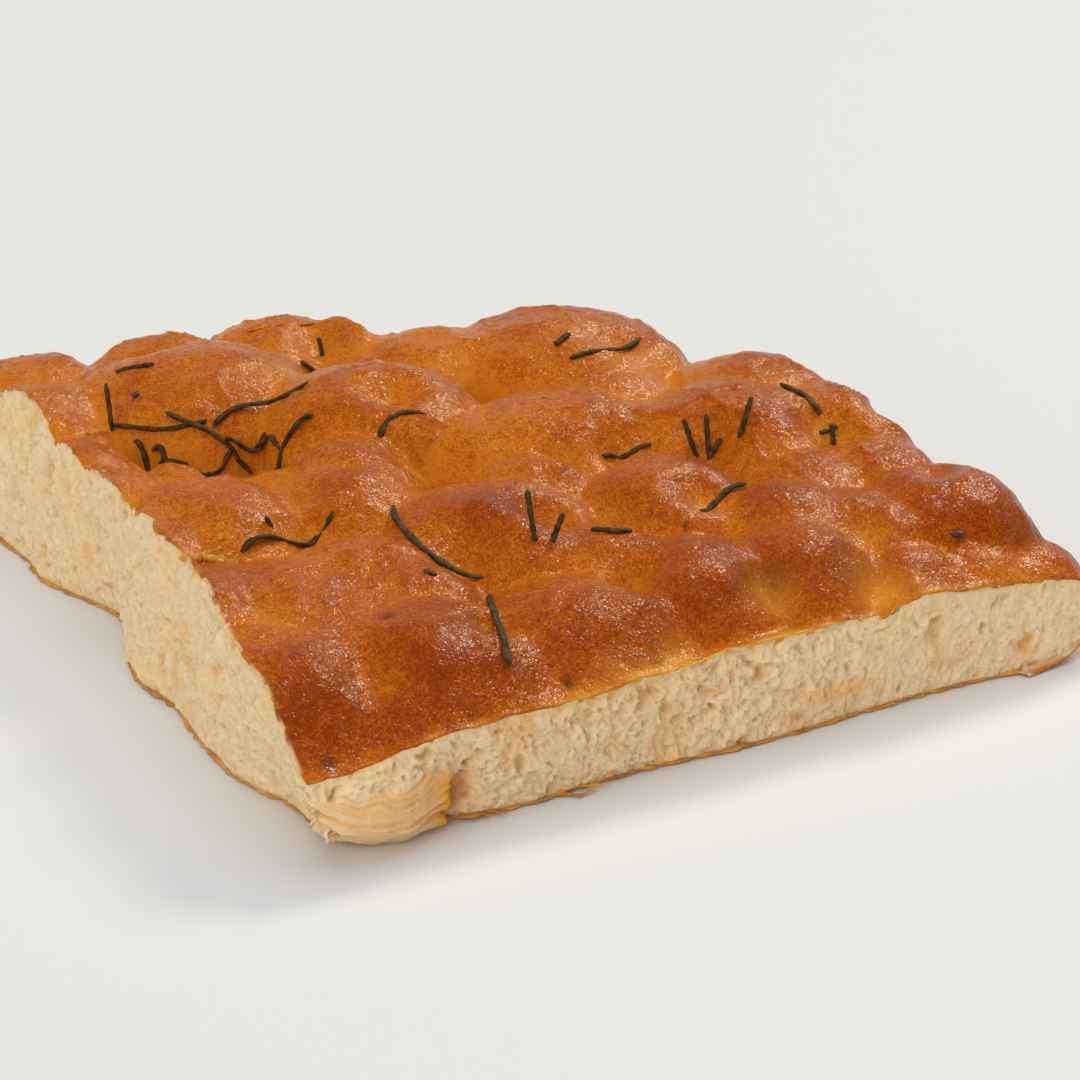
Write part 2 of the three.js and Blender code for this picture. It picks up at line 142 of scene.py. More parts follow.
# Marks in the crust: x, y, radius, height of the relief, and darkness from 0 to 1
MARKS = [
    (-8, 3, 1.8, 0.0, 0.9), (24, 36, 2.0, -0.5, 0.8), (25, 38, 1.0, 0.5, 0.4), (15, 48, 1.3, 0.6, 0.5),
    (55, 5, 1.6, -0.7, 0.8), (123, 20, 3.5, -0.3, 0.35), (70, 109, 0.8, 0.1, 1.0),
    (31, 22, 0.6, 0.1, 1.0), (40, 22, 0.7, 0.1, 1.0), (118, 50, 0.8, 0.1, 1.0), (27, 106, 1.2, 0.5, 0.2),
    (92, 160, 1.8, 0.6, 0.3), (84, 150, 1.2, 0.4, 0.2), (131, 124, 1.5, 0.5, 0.3), (133, 1, 0.8, 0.2, 0.9),
    (100, 22, 1.0, 0.4, 0.2), (64, 20, 0.9, 0.4, 0.2), (160, 20, 1.2, 0.3, 0.3),
]

# Seeds on the crust: x, y, length, and heading in degrees
SEEDS = [(27, 188, 3.8, 20), (178, 15, 3.7, -27)]

# The crumb wall's columns on each side and its rows, and the base line's points on each side
CRUMB_COLUMNS = {"front": 520, "right": 90, "far": 110, "left": 520}
CRUMB_ROWS = 72
BASE_COLUMNS = {"front": 420, "right": 160, "far": 120, "left": 420}

# Section of the base's rim, as distance out from the base line and share of the thickness
BASE_RIM = [(-0.4, 1.0), (0.3, 0.7), (0.35, 0.3), (-0.2, 0.0)]

# Torn toe of the near corner: its reach, how far it bulges, and the top of its stretched skin
TOE_REACH = 14.0
TOE_BULGE = 5.5
TOE_SKIN_TOP = 16.5

# Pores of the crumb, as cell size, depth, and share of the cells that hold one
PORES = [(8.5, 2.6, 0.25), (4.6, 1.7, 0.35), (2.5, 1.1, 0.5), (1.4, 0.7, 0.6)]

# Flakes of the base that stick out under the front cut, as x, y, length and width
BASE_FLAKES = [
    (25, 4.0, 7.5, 1.5), (28, 3.6, 9.0, 1.1), (20, 6.5, 5.0, 1.8), (50, 3.0, 10.0, 1.2),
    (56, 3.4, 8.0, 0.8), (66, 3.8, 4.0, 0.7), (118, 1.8, 3.5, 0.7),
]
SLIVER_THICKNESS = 0.22

# Camera: place in loaf millimetres, turn and downward pitch in degrees, lens and sensor in millimetres
CAMERA_PLACE = np.array([-244.6, -479.8, 287.0])
CAMERA_TURN, CAMERA_PITCH = -31.064, 21.5
LENS, SENSOR_WIDTH = 90.0, 36.0

# Lights, as direction, strength, width in degrees, colour, and whether the gloss mirrors them
LIGHTS = {
    "back_light": ((0.88, 0.50, 0.88), 1.15, 16.0, (1.0, 0.91, 0.70), True),
    "top_light": ((0.10, 0.18, 1.0), 1.4, 60.0, (0.94, 0.978, 1.0), False),
    "fill_light": ((-0.80, -0.60, 0.7), 1.45, 60.0, (0.94, 0.978, 1.0), False),
}


def length_prop(name, default, low, high, description):
    """A property for a length in the loaf's millimetres."""
    return FloatProperty(
        name=name, default=default, min=low, max=high, description=description + ", in millimetres",
    )


def colour_prop(name, default, description):
    """A property for a colour, shown as a swatch."""
    return FloatVectorProperty(
        name=name, subtype="COLOR", size=3, default=default, min=0.0, max=1.0, description=description,
    )


class FocacciaShape(bpy.types.PropertyGroup):
    """Sizes of the bread, in millimetres."""

    edge_height: length_prop(
        "Baked edge height", 15.0, 8.0, 25.0, "Height at which the baked edge reaches furthest out")
    edge_undercut: length_prop("Undercut", 29.0, 5.0, 40.0, "How far the baked edge turns in beneath itself")
    shoulder: length_prop(
        "Baked shoulder", 19.0, 5.0, 40.0, "Width over which the top turns down into the baked edge")
    front_shoulder: length_prop(
        "Front shoulder", 24.0, 5.0, 40.0, "Width over which the top comes down to the front rim")
    crust_thickness: length_prop(
        "Crust thickness", 0.8, 0.3, 3.0, "Thickness of the browned skin where the knife cut it")
    base_thickness: length_prop("Base thickness", 1.0, 0.3, 3.0, "Thickness of the browned base")
    needle_width: length_prop("Needle width", 1.8, 0.5, 4.0, "Width of a rosemary needle")
    relief_seed: IntProperty(
        name="Seed", default=5, min=0, max=1000,
        description="Seed of every random draw in the crumb and on the crust",
    )


class FocacciaColours(bpy.types.PropertyGroup):
    """Colours of the baked surfaces."""

    # The three crust colours are mixed by one mask. Pale crust also stands for painted sheen, lighter towards
    # the back.
    crust_pale_and_sheen: colour_prop("Pale crust", (0.70, 0.21, 0.012), "Crust that baked least, in the creases")
    crust_brown: colour_prop("Brown crust", (0.475, 0.093, 0.002), "Crust on the flanks of the domes")
    # Dark crust also stands for painted shade on the steep flanks, partly burnt crust near the front.
    crust_dark_and_shade: colour_prop("Dark crust", (0.27, 0.037, 0.001), "Crust that baked most")
    crust_gold: colour_prop(
        "Golden crust", (0.84, 0.36, 0.035), "Oiled golden skin in dimples and along the cut rim")
    crumb: colour_prop("Crumb", (0.97, 0.70, 0.42), "Open crumb of the cut faces")
    # Painted shade: the crumb darkens towards this colour in its pores, more where the relief sinks deeper,
    # and in the toe's hollow.
    crumb_pore_shade: colour_prop("Deep crumb", (0.66, 0.38, 0.14), "Crumb inside the pores")
    crumb_warm: colour_prop("Warm crumb", (0.86, 0.57, 0.23), "Yellower patches of the crumb")
    base_brown: colour_prop("Base", (0.50, 0.19, 0.03), "Browned base")
    skin: colour_prop("Dough skin", (0.93, 0.56, 0.24), "Stretched dough at the toe of the cut corner")
    mark: colour_prop("Marks", (0.09, 0.014, 0.008), "Scorched spots and seeds in the crust")
    rosemary: colour_prop("Rosemary", (0.03, 0.018, 0.006), "Baked rosemary needles")
    # Painted highlight: lighter streaks laid at random along the needles.
    rosemary_painted_highlight: colour_prop("Rosemary backs", (0.115, 0.072, 0.024), "Lighter streaks of the needles")
    seed_bloom: colour_prop("Seed bloom", (0.11, 0.085, 0.10), "Bluish grey bloom of the seeds")


# Random patterns on arrays of points

def hashed(cell, seed):
    """A number from 0 to 1 for each whole-number lattice point: its coordinates are multiplied by
    odd constants, joined by exclusive-or, and mixed by shifts and more multiplying."""
    c = cell.astype(np.int64).view(np.uint64)
    h = c[..., 0] * np.uint64(73856093)
    h ^= c[..., 1] * np.uint64(19349663)
    h ^= c[..., 2] * np.uint64(83492791)
    h ^= np.uint64(seed * 2654435761 % 4294967296)
    h &= np.uint64(0xFFFFFFFF)
    h = (h ^ (h >> np.uint64(15))) * np.uint64(2246822519) & np.uint64(0xFFFFFFFF)
    h = (h ^ (h >> np.uint64(13))) * np.uint64(3266489917) & np.uint64(0xFFFFFFFF)
    return (h ^ (h >> np.uint64(16))) / 4294967296.0


def smooth_noise(points, seed):
    """Value noise from -1 to 1: the eight lattice numbers round a point are blended with weights
    3t^2 - 2t^3 of its place between them."""
    base = np.floor(points)
    t = points - base
    t = t * t * (3.0 - 2.0 * t)
    total = np.zeros(points.shape[:-1])
    for corner in np.ndindex(2, 2, 2):
        step = np.array(corner)
        weight = np.prod(np.where(step == 1, t, 1.0 - t), axis=-1)
        total += weight * hashed(base + step, seed)
    return total * 2.0 - 1.0


def layered_noise(points, seed, layers=3):
    """Sum of value noises, each of twice the frequency and half the height of the last."""
    total = np.zeros(points.shape[:-1])
    for k in range(layers):
        total += smooth_noise(points * 2.0**k, seed + 31 * k) / 2.0**k
    return total


def nearest_cell(points, seed):
    """Distance to the nearest of one random point per lattice cell, and that point's own number."""
    base = np.floor(points)
    best = np.full(points.shape[:-1], 9.0)
    tag = np.zeros(points.shape[:-1])
    for offset in np.ndindex(3, 3, 3):
        cell = base + np.array(offset) - 1
        spot = cell + np.stack([hashed(cell, seed + a) for a in range(3)], axis=-1)
        distance = np.linalg.norm(points - spot, axis=-1)
        closer = distance < best
        best = np.where(closer, distance, best)
        tag = np.where(closer, hashed(cell, seed + 7), tag)
    return best, tag


def ramp(low, high, value):
    """Smooth step: 0 below low, 1 above high, 3t^2 - 2t^3 between."""
    t = np.clip((value - low) / (high - low), 0.0, 1.0)
    return t * t * (3.0 - 2.0 * t)


def bell(value, centre, width):
    """A bump of height 1 at the centre: exp of minus the squared distance in widths."""
    return np.exp(-(((value - centre) / width) ** 2))


def greatest_bell(x, y, spots):
    """The greatest of one bell per spot, each given as x, y, reach and height."""
    return np.maximum.reduce([
        height * np.exp(-(((x - sx) ** 2 + (y - sy) ** 2) / reach**2)) for sx, sy, reach, height in spots
    ])


def unit(vectors):
    """Vectors brought to length 1."""
    return vectors / np.maximum(np.linalg.norm(vectors, axis=-1, keepdims=True), 1e-9)


def left_of(line):
    """Unit vectors in plan to the left of a line's course, so inwards from the baked edge."""
    tangent = np.gradient(line, axis=0)
    return unit(np.stack([-tangent[:, 1], tangent[:, 0]], -1))


def look_up(table, position):
    """Straight-line reading of a table of position and value."""
    rows = np.array(table, float)
    return np.interp(position, rows[:, 0], rows[:, 1])


# Form of the loaf

def baked_edge_x(y):
    """The baked edge's x: a straight line less a bell for each scallop."""
    return BAKED_EDGE_X - sum(depth * bell(y, at, width) for at, width, depth in SCALLOPS_ALONG_RIGHT)


def corner_radius(angle):
    """Radius of the baked corner: a circle less a bell for each scallop, those of the straight edge
    running on round it."""
    cuts = sum(depth * bell(angle, at, width) for at, width, depth in SCALLOPS_ROUND_CORNER)
    return CORNER_RADIUS - cuts - BAKED_EDGE_X + baked_edge_x(CORNER_CENTRE[1] + CORNER_RADIUS * angle)


def far_edge_y(x):
    """The far edge's y: a slightly sloping line with a flat-bottomed notch cut into it."""
    share = x / CORNER_CENTRE[0]
    line = FAR_CUT_Y + (CORNER_CENTRE[1] + CORNER_RADIUS - FAR_CUT_Y) * share
    notch = NOTCH_DEPTH * np.exp(-(np.abs((x - NOTCH_X) / NOTCH_WIDTH) ** 2.6))
    return line - notch - 0.6 * np.sin(x / 6.0)


def baked_inset(x, y):
    """Distance inwards from the baked edge, by its straight part, its corner or its far part."""
    dx, dy = x - CORNER_CENTRE[0], y - CORNER_CENTRE[1]
    straight = baked_edge_x(y) - x
    corner = corner_radius(np.arctan2(dy, np.maximum(dx, 1e-6))) - np.hypot(dx, dy)
    share = ramp(NOTCH_X - 11.0, NOTCH_X - 3.0, x)
    far = far_edge_y(x) - y + CORNER_RADIUS * (1.0 - share)
    return np.where(dy <= 0, straight, np.where(dx > 0, corner, far))


def edge_height(x, y):
    """Height of the baked edge's furthest reach: a level with two crossed sine waves."""
    low = bpy.context.scene.focaccia_shape.edge_height
    return low + 2.0 * np.sin(y / 23.0) * np.sin((x + y) / 31.0)


def crust_height(x, y):
    """Height of domes and dimples: a soft maximum (log of summed exponentials) of the dough level
    and one flattened ball per dome, less a bell per dimple."""
    blend = 1.0
    level = 24.0 + 6.0 * ramp(0.0, 40.0, y) + 3.0 * ramp(60.0, 200.0, y)
    total = np.exp(level / blend)
    for cx, cy, reach, top in DOMES:
        q = ((x - cx) ** 2 + (y - cy) ** 2) / reach**2
        ball = 1.0 - np.sqrt(np.clip(1.0 - q / DOME_FLATNESS, 0.0, 1.0))
        drop = (DOME_DROP + DOME_DROP_PER_REACH * reach) * ball
        total += np.where(q < DOME_FLATNESS, np.exp((top - drop) / blend), 0.0)
    z = blend * np.log(total)
    for cx, cy, reach, depth in DIMPLES:
        q = ((x - cx) ** 2 + (y - cy) ** 2) / reach**2
        z = z - depth * np.exp(-q * DIMPLE_SHARPNESS)
    return z


def top_height(x, y):
    """Height of the finished top: the crust's height, brought down to the rim at the front cut by a
    parabola and to the baked edge by a quarter ellipse."""
    shape = bpy.context.scene.focaccia_shape
    x, y = np.asarray(x, float), np.asarray(y, float)
    rim = look_up(FRONT_RIM, x)
    front = np.clip(y / shape.front_shoulder, 0.0, 1.0)
    z = rim + (crust_height(x, y) - rim) * (1.0 - (1.0 - front) ** 2)
    side = np.clip(baked_inset(x, y) / shape.shoulder, 0.0, 1.0)
    low = edge_height(x, y)
    return low + (z - low) * np.sqrt(1.0 - (1.0 - side) ** 2)


def crust_relief(points):
    """Small relief of the crust at points on it: three layers of noise, raised folds where a bent
    noise crosses zero, a torn rim that fades with the exponential of the distance to the cut, and a
    bell for each mark."""
    seed = bpy.context.scene.focaccia_shape.relief_seed
    relief = 0.75 * layered_noise(points / 12.0, seed, 2) + 0.3 * layered_noise(points / 4.5, seed + 2, 2)
    relief += 0.14 * layered_noise(points / 1.9, seed + 3, 2)
    bend = np.stack([smooth_noise(points / 9.0, seed + 5 + a) for a in range(3)], -1) * 5.0
    creases = 1.0 - np.abs(smooth_noise((points + bend) / 19.0, seed + 8))
    relief += 0.9 * creases**14 * ramp(30.0, 80.0, points[..., 1])
    relief += np.exp(-distance_to_cut(points) / 1.2) * 0.4 * layered_noise(points / 1.6, seed + 15, 2)
    for x, y, radius, rise, _ in MARKS:
        relief += rise * np.exp(-(((points[..., 0] - x) ** 2 + (points[..., 1] - y) ** 2) / radius**2))
    return relief - 0.15


def distance_to_cut(points):
    """Distance in plan to the nearest knife cut: front, left or far."""
    x, y = points[..., 0], points[..., 1]
    left = x - look_up(LEFT_CRUST, y)
    far = np.where(x < FAR_CUT_END, far_edge_y(x) - y, 99.0)
    return np.maximum(np.minimum(np.minimum(np.abs(y), left), far), 0.0)


def by_length(line, shares):
    """Points at the given shares of a polyline's length."""
    steps = np.linalg.norm(np.diff(line, axis=0), axis=1)
    along = np.concatenate([[0.0], np.cumsum(steps)])
    at = np.asarray(shares) * along[-1]
    return np.stack([np.interp(at, along, line[:, k]) for k in range(line.shape[1])], axis=-1)


def outline(side, fine=1600):
    """One side of the crust's outline as a fine polyline: front and left and far are the knife
    cuts, and right is the whole baked edge round to the far notch."""
    t = np.linspace(0.0, 1.0, fine)
    if side == "front":
        x = FRONT_LEFT[0] + (baked_edge_x(0.0) - FRONT_LEFT[0]) * t
        return np.stack([x, FRONT_LEFT[1] * (1 - t) + 2.0 * np.sin(t * 31) * t * (1 - t)], -1)
    if side == "left":
        y = FRONT_LEFT[1] + (FAR_CUT_Y - FRONT_LEFT[1]) * t
        return np.stack([look_up(LEFT_CRUST, y), y], -1)
    if side == "far":
        x = LEFT_CRUST[-1][1] + (FAR_CUT_END - LEFT_CRUST[-1][1]) * t
        return np.stack([x, far_edge_y(x)], -1)
    y = CORNER_CENTRE[1] * t
    angle = math.pi / 2 * t
    r = corner_radius(angle)
    x = CORNER_CENTRE[0] + (FAR_CUT_END - CORNER_CENTRE[0]) * t
    return np.concatenate([
        np.stack([baked_edge_x(y), y], -1),
        CORNER_CENTRE + np.stack([r * np.cos(angle), r * np.sin(angle)], -1),
        np.stack([x, far_edge_y(x)], -1),
    ])


def plan_patch(u, v):
    """Points inside the outline: the front and far sides blended by v, plus the left and right
    sides blended by u, less the four corners blended by both."""
    front, far = by_length(outline("front"), u), by_length(outline("far"), u)
    left, right = by_length(outline("left"), v), by_length(outline("right"), v)
    uu, vv = u[:, None, None], v[None, :, None]
    across = (1 - vv) * front[:, None] + vv * far[:, None]
    along = (1 - uu) * left[None] + uu * right[None]
    low = (1 - uu) * front[0] + uu * front[-1]
    high = (1 - uu) * far[0] + uu * far[-1]
    return across + along - (1 - vv) * low - vv * high


def under_edge(edge, inwards, share):
    """The baked edge's underside: a quarter ellipse from the furthest reach to the table."""
    angle = share * math.pi / 2
    out = bpy.context.scene.focaccia_shape.edge_undercut * (1.0 - math.cos(angle))
    return np.concatenate([edge[:, :2] + inwards * out, edge[:, 2:] * (1.0 - math.sin(angle))], -1)


def base_line(side, edge, t):
    """The base point under each edge point, and how far the wall there is a baked edge: drawn lines
    on the front and left, and the edge moved inwards on the baked and far sides."""
    if side == "left":
        return by_length(np.array(LEFT_BASE, float)[:, ::-1], t), np.zeros(len(t))
    if side == "front":
        turn = ramp(BAKED_EDGE_X - 24.0, BAKED_EDGE_X - 4.0, edge[:, 0])
        return by_length(np.array(FRONT_BASE, float), t), turn
    if side == "far":
        return edge - np.array([0.0, 2.0]), np.zeros(len(t))
    undercut = bpy.context.scene.focaccia_shape.edge_undercut
    return edge + left_of(edge) * undercut, np.ones(len(t))


def sides_in_turn(counts):
    """Edge points, base points and roundness of each side, anticlockwise from the near corner."""
    for side, count in counts.items():
        t = np.linspace(0.0, 1.0, count, endpoint=False)
        if side in ("far", "left"):
            t = 1.0 - t
        edge = by_length(outline(side), t)
        yield edge, *base_line(side, edge, t)


# Meshes and objects

def smooth_mesh(name, points, quads, tris, attributes=None):
    """A mesh object from points in loaf millimetres, faces as index rows, and point attributes."""
    mesh = bpy.data.meshes.new(name)
    places = (points + ORIGIN) * MM
    corners = np.concatenate([quads.ravel(), tris.ravel()]).astype(np.int32)
    starts = np.concatenate([np.arange(len(quads)) * 4, len(quads) * 4 + np.arange(len(tris)) * 3])
    mesh.vertices.add(len(places))
    mesh.vertices.foreach_set("co", places.ravel())
    mesh.loops.add(len(corners))
    mesh.loops.foreach_set("vertex_index", corners)
    mesh.polygons.add(len(starts))
    mesh.polygons.foreach_set("loop_start", starts.astype(np.int32))
    mesh.update(calc_edges=True)
    mesh.validate()
    mesh.polygons.foreach_set("use_smooth", np.ones(len(mesh.polygons), bool))
    for key, values in (attributes or {}).items():
        layer = mesh.attributes.new(key, "FLOAT", "POINT")
        layer.data.foreach_set("value", values.astype(np.float32))
    return bpy.data.objects.new(name, mesh)


def add_piece(piece, material):
    """Puts a finished piece in the scene, on the loaf's body and in its node's place."""
    bpy.context.scene.collection.objects.link(piece)
    piece.data.materials.append(material)
    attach(piece, BODY)
    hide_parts(NODE)


def grid_quads(rows, columns):
    """Faces of a grid of points numbered row by row, facing the side from which rows run right and
    columns run up."""
    k = np.arange(rows * columns).reshape(rows, columns)
    return np.stack([k[:-1, :-1], k[1:, :-1], k[1:, 1:], k[:-1, 1:]], -1).reshape(-1, 4)


def ring_quads(rings):
    """Faces between closed loops of point numbers, each with the next, run left to right."""
    pairs = zip(rings, rings[1:])
    return np.concatenate([np.stack([a, b, np.roll(b, -1), np.roll(a, -1)], -1) for a, b in pairs])


def fan(ring, centre, faces_down=False):
    """Faces between a closed loop of point numbers and a middle point."""
    following, middle = np.roll(ring, -1), np.full(len(ring), centre)
    return np.stack([ring, middle, following] if faces_down else [ring, following, middle], -1)


def grid_normals(points):
    """Unit normals of a grid of points: the cross product of its two directions' differences."""
    return unit(np.cross(np.gradient(points, axis=0), np.gradient(points, axis=1)))


def blurred(values, width):
    """A grid of values averaged over a square window, twice, as a soft blur."""
    kernel = np.ones(width) / width
    pad = width // 2
    for axis in (0, 1, 0, 1):
        grown = np.pad(values, [(pad, pad) if a == axis else (0, 0) for a in (0, 1)], mode="edge")
        values = np.apply_along_axis(np.convolve, axis, grown, kernel, "valid")
    return values


def tube_faces(count, steps, sides):
    """Faces of many closed tubes, whose points run round each ring, along each tube and through all
    the tubes: a band of quads between rings, and triangles over both ends."""
    k = np.arange(count * steps * sides).reshape(count, steps, sides)
    a, b = k[:, :-1], k[:, 1:]
    quads = np.stack([a, np.roll(a, -1, axis=2), np.roll(b, -1, axis=2), b], -1).reshape(-1, 4)
    ends = []
    for ring, near, far in ((k[:, 0], 2, 1), (k[:, -1], 1, 2)):
        hub = np.broadcast_to(ring[:, :1], (count, sides - 2))
        ends.append(np.stack([hub, ring[:, near:sides - 2 + near], ring[:, far:sides - 2 + far]], -1))
    return quads, np.concatenate(ends).reshape(-1, 3)


def tubes(paths, across, over, sides):
    """Points and faces of many closed tubes: each ring is an ellipse about a path point, spanned by
    the vectors across and over."""
    around = np.linspace(0.0, 2 * np.pi, sides, endpoint=False)[:, None]
    rings = paths[:, :, None] + np.cos(around) * across[:, :, None] + np.sin(around) * over[:, :, None]
    return rings.reshape(-1, 3), *tube_faces(*paths.shape[:2], sides)


# Shader nodes

def set_inputs(tree, node, values):
    """Links each named or numbered input of a node to a socket, or gives it a colour or a number."""
    for key, value in values.items():
        if isinstance(value, bpy.types.NodeSocket):
            tree.links.new(value, node.inputs[key])
        else:
            node.inputs[key].default_value = (*value, 1.0) if isinstance(value, Color) else value


def new_material(name):
    """An empty node material with its output, shader and object coordinates."""
    material = bpy.data.materials.new(name)
    material.use_nodes = True
    tree = material.node_tree
    tree.nodes.clear()
    output = tree.nodes.new("ShaderNodeOutputMaterial")
    shader = tree.nodes.new("ShaderNodeBsdfPrincipled")
    place = tree.nodes.new("ShaderNodeTexCoord")
    set_inputs(tree, output, {"Surface": shader.outputs["BSDF"]})
    return material, tree, shader, place.outputs["Object"]


def attribute(tree, name):
    """A point attribute of the mesh."""
    made = tree.nodes.new("ShaderNodeAttribute")
    made.attribute_name = name
    return made.outputs["Fac"]


def mix_colour(tree, factor, first, second):
    """A mix of two colours."""
    made = tree.nodes.new("ShaderNodeMix")
    made.data_type = "RGBA"
    set_inputs(tree, made, {0: factor, 6: first, 7: second})
    return made.outputs[2]


def add(tree, first, second):
    """The sum of two sockets."""
    made = tree.nodes.new("ShaderNodeMath")
    made.operation = "ADD"
    set_inputs(tree, made, {0: first, 1: second})
    return made.outputs[0]


def map_range(tree, value, low, high, least=0.0, most=1.0):
    """A value read from low to high and written out from least to most."""
    made = tree.nodes.new("ShaderNodeMapRange")
    limits = {"From Min": low, "From Max": high, "To Min": least, "To Max": most}
    set_inputs(tree, made, {"Value": value, **limits})
    return made.outputs["Result"]


NOISE_INPUTS = ("Scale", "Detail", "Roughness", "Distortion")
RANGE_INPUTS = {"Low": "From Min", "High": "From Max", "Least": "To Min", "Most": "To Max"}


def grain_group():
    """The grain that all the materials share: fractal noise at a scale, read from Low to High and
    written out from Least to Most."""
    group = bpy.data.node_groups.new("grain", "ShaderNodeTree")
    group.interface.new_socket(name="Place", in_out="INPUT", socket_type="NodeSocketVector")
    for name in (*NOISE_INPUTS, *RANGE_INPUTS):
        group.interface.new_socket(name=name, in_out="INPUT", socket_type="NodeSocketFloat")
    group.interface.new_socket(name="Value", in_out="OUTPUT", socket_type="NodeSocketFloat")
    start = group.nodes.new("NodeGroupInput").outputs
    pattern = group.nodes.new("ShaderNodeTexNoise")
    reach = group.nodes.new("ShaderNodeMapRange")
    end = group.nodes.new("NodeGroupOutput")
    set_inputs(group, pattern, {"Vector": start["Place"], **{name: start[name] for name in NOISE_INPUTS}})
    set_inputs(group, reach, {"Value": pattern.outputs["Fac"]})
    set_inputs(group, reach, {target: start[name] for name, target in RANGE_INPUTS.items()})
    set_inputs(group, end, {"Value": reach.outputs["Result"]})
    return group


def grain(tree, place, form, reads=(0.0, 1.0), writes=(0.0, 1.0)):
    """A grain node: form is its scale, detail, roughness and distortion."""
    made = tree.nodes.new("ShaderNodeGroup")
    made.node_tree = bpy.data.node_groups.get("grain") or grain_group()
    set_inputs(tree, made, dict(zip((*NOISE_INPUTS, *RANGE_INPUTS), (*form, *reads, *writes))))
    set_inputs(tree, made, {"Place": place})
    return made.outputs["Value"]


def bump(tree, height, strength, distance):
    """A normal bent by a height."""
    made = tree.nodes.new("ShaderNodeBump")
    set_inputs(tree, made, {"Height": height, "Strength": strength, "Distance": distance})
    return made.outputs["Normal"]


def grain_bumps(tree, place, *layers):
    """A normal bent by grains laid one on another, each a form with a strength and a distance."""
    normal = None
    for form, strength, distance in layers:
        bent = bump(tree, grain(tree, place, form), strength, distance)
        if normal is not None:
            set_inputs(tree, bent.node, {"Normal": normal})
        normal = bent
    return normal


def crust_material():
    """Oiled brown crust: pale to dark by how much it baked, with painted shade on the steep flanks
    and painted sheen towards the back, golden in dimples and along the rim, with fine leathery
    wrinkles, and over them a film of oil with a gentler wrinkle of its own."""
    colours = bpy.context.scene.focaccia_colours
    material, tree, shader, place = new_material("baked_crust")
    broad = (70.0, 4.0, 0.6, 0.0)
    # This mask holds browning together with painted shade on steep flanks and painted sheen towards the back.
    bake_shade_and_sheen = attribute(tree, "bake_shade_and_sheen")
    for form, depth in ((broad, 0.14), ((420.0, 3.0, 0.65, 0.0), 0.22), ((1500.0, 2.0, 0.6, 0.0), 0.38)):
        bake_shade_and_sheen = add(tree, bake_shade_and_sheen, grain(tree, place, form, (0.28, 0.72), (-depth, depth)))
    tint = mix_colour(tree, map_range(tree, bake_shade_and_sheen, 0.0, 0.5), colours.crust_pale_and_sheen, colours.crust_brown)
    tint = mix_colour(tree, map_range(tree, bake_shade_and_sheen, 0.5, 1.0), tint, colours.crust_dark_and_shade)
    for mask, colour in (("gold", colours.crust_gold), ("mark", colours.mark), ("bare", colours.crumb)):
        tint = mix_colour(tree, attribute(tree, mask), tint, colour)
    wrinkles, waves = (900.0, 3.0, 0.6, 2.2), (260.0, 3.0, 0.55, 1.2)
    film, fine_film = (330.0, 1.5, 0.5, 1.6), (1000.0, 1.0, 0.5, 1.0)
    set_inputs(tree, shader, {
        "Base Color": tint,
        "Normal": grain_bumps(tree, place, (wrinkles, 0.7, 0.0004), (waves, 0.6, 0.0009)),
        "Roughness": map_range(tree, grain(tree, place, broad, (0.3, 0.7)), 0.0, 1.0, 0.3, 0.45),
        "Specular IOR Level": 0.04,
        "Coat Normal": grain_bumps(tree, place, (film, 0.7, 0.0008), (fine_film, 0.7, 0.0003)),
        "Coat Weight": 0.55,
        "Coat Roughness": 0.14,
        "Coat IOR": 1.45,
    })
    return material


def crumb_material():
    """Open crumb: pale cream with painted shade, deeper and warmer, in the pores, soft yellowish
    patches, and smooth skin and gold where their masks lie."""
    colours = bpy.context.scene.focaccia_colours
    material, tree, shader, place = new_material("open_crumb")
    fine, finest = (700.0, 4.0, 0.65, 0.8), (1400.0, 2.0, 0.6, 0.5)
    # Painted shade: the pores darken by depth, with a random grain on top.
    deep = add(tree, attribute(tree, "pore_shade"), grain(tree, place, fine, (0.35, 0.7), (-0.15, 0.22)))
    tint = mix_colour(tree, map_range(tree, deep, 0.0, 1.0), colours.crumb, colours.crumb_pore_shade)
    patches = grain(tree, place, (60.0, 3.0, 0.6, 0.0), (0.45, 0.75), (0.0, 0.3))
    tint = mix_colour(tree, patches, tint, colours.crumb_warm)
    for mask, colour in (("skin", colours.skin), ("gold", colours.crust_gold)):
        tint = mix_colour(tree, attribute(tree, mask), tint, colour)
    set_inputs(tree, shader, {
        "Base Color": tint,
        "Normal": grain_bumps(tree, place, (fine, 0.5, 0.0008), (finest, 0.35, 0.0005)),
        "Roughness": 0.8,
        "Specular IOR Level": 0.3,
        "Subsurface Weight": 0.4,
        "Subsurface Radius": (0.003, 0.002, 0.001),
        "Subsurface Scale": 1.0,
    })
    return material


def fibre_material():
    """Torn crumb fibres: pale, with golden tips."""
    colours = bpy.context.scene.focaccia_colours
    material, tree, shader, place = new_material("torn_crumb")
    tips = grain(tree, place, (300.0, 2.0, 0.6, 0.0), (0.45, 0.7), (0.0, 0.7))
    set_inputs(tree, shader, {
        "Base Color": mix_colour(tree, tips, colours.crumb, colours.crust_gold),
        "Normal": grain_bumps(tree, place, ((1500.0, 3.0, 0.5, 0.0), 0.4, 0.0004)),
        "Roughness": 0.7,
        "Subsurface Weight": 0.3,
        "Subsurface Radius": (0.0015, 0.001, 0.0005),
        "Subsurface Scale": 1.0,
    })
    return material


def speckled_material(name, form, reads, tints, relief, constants):
    """Two colours mixed by one grain, which also bends the normal, and the shader's constants."""
    material, tree, shader, place = new_material(name)
    specks = grain(tree, place, form, reads)
    set_inputs(tree, shader, {
        "Base Color": mix_colour(tree, specks, *tints),
        "Normal": bump(tree, specks, *relief),
        **constants,
    })
    return material


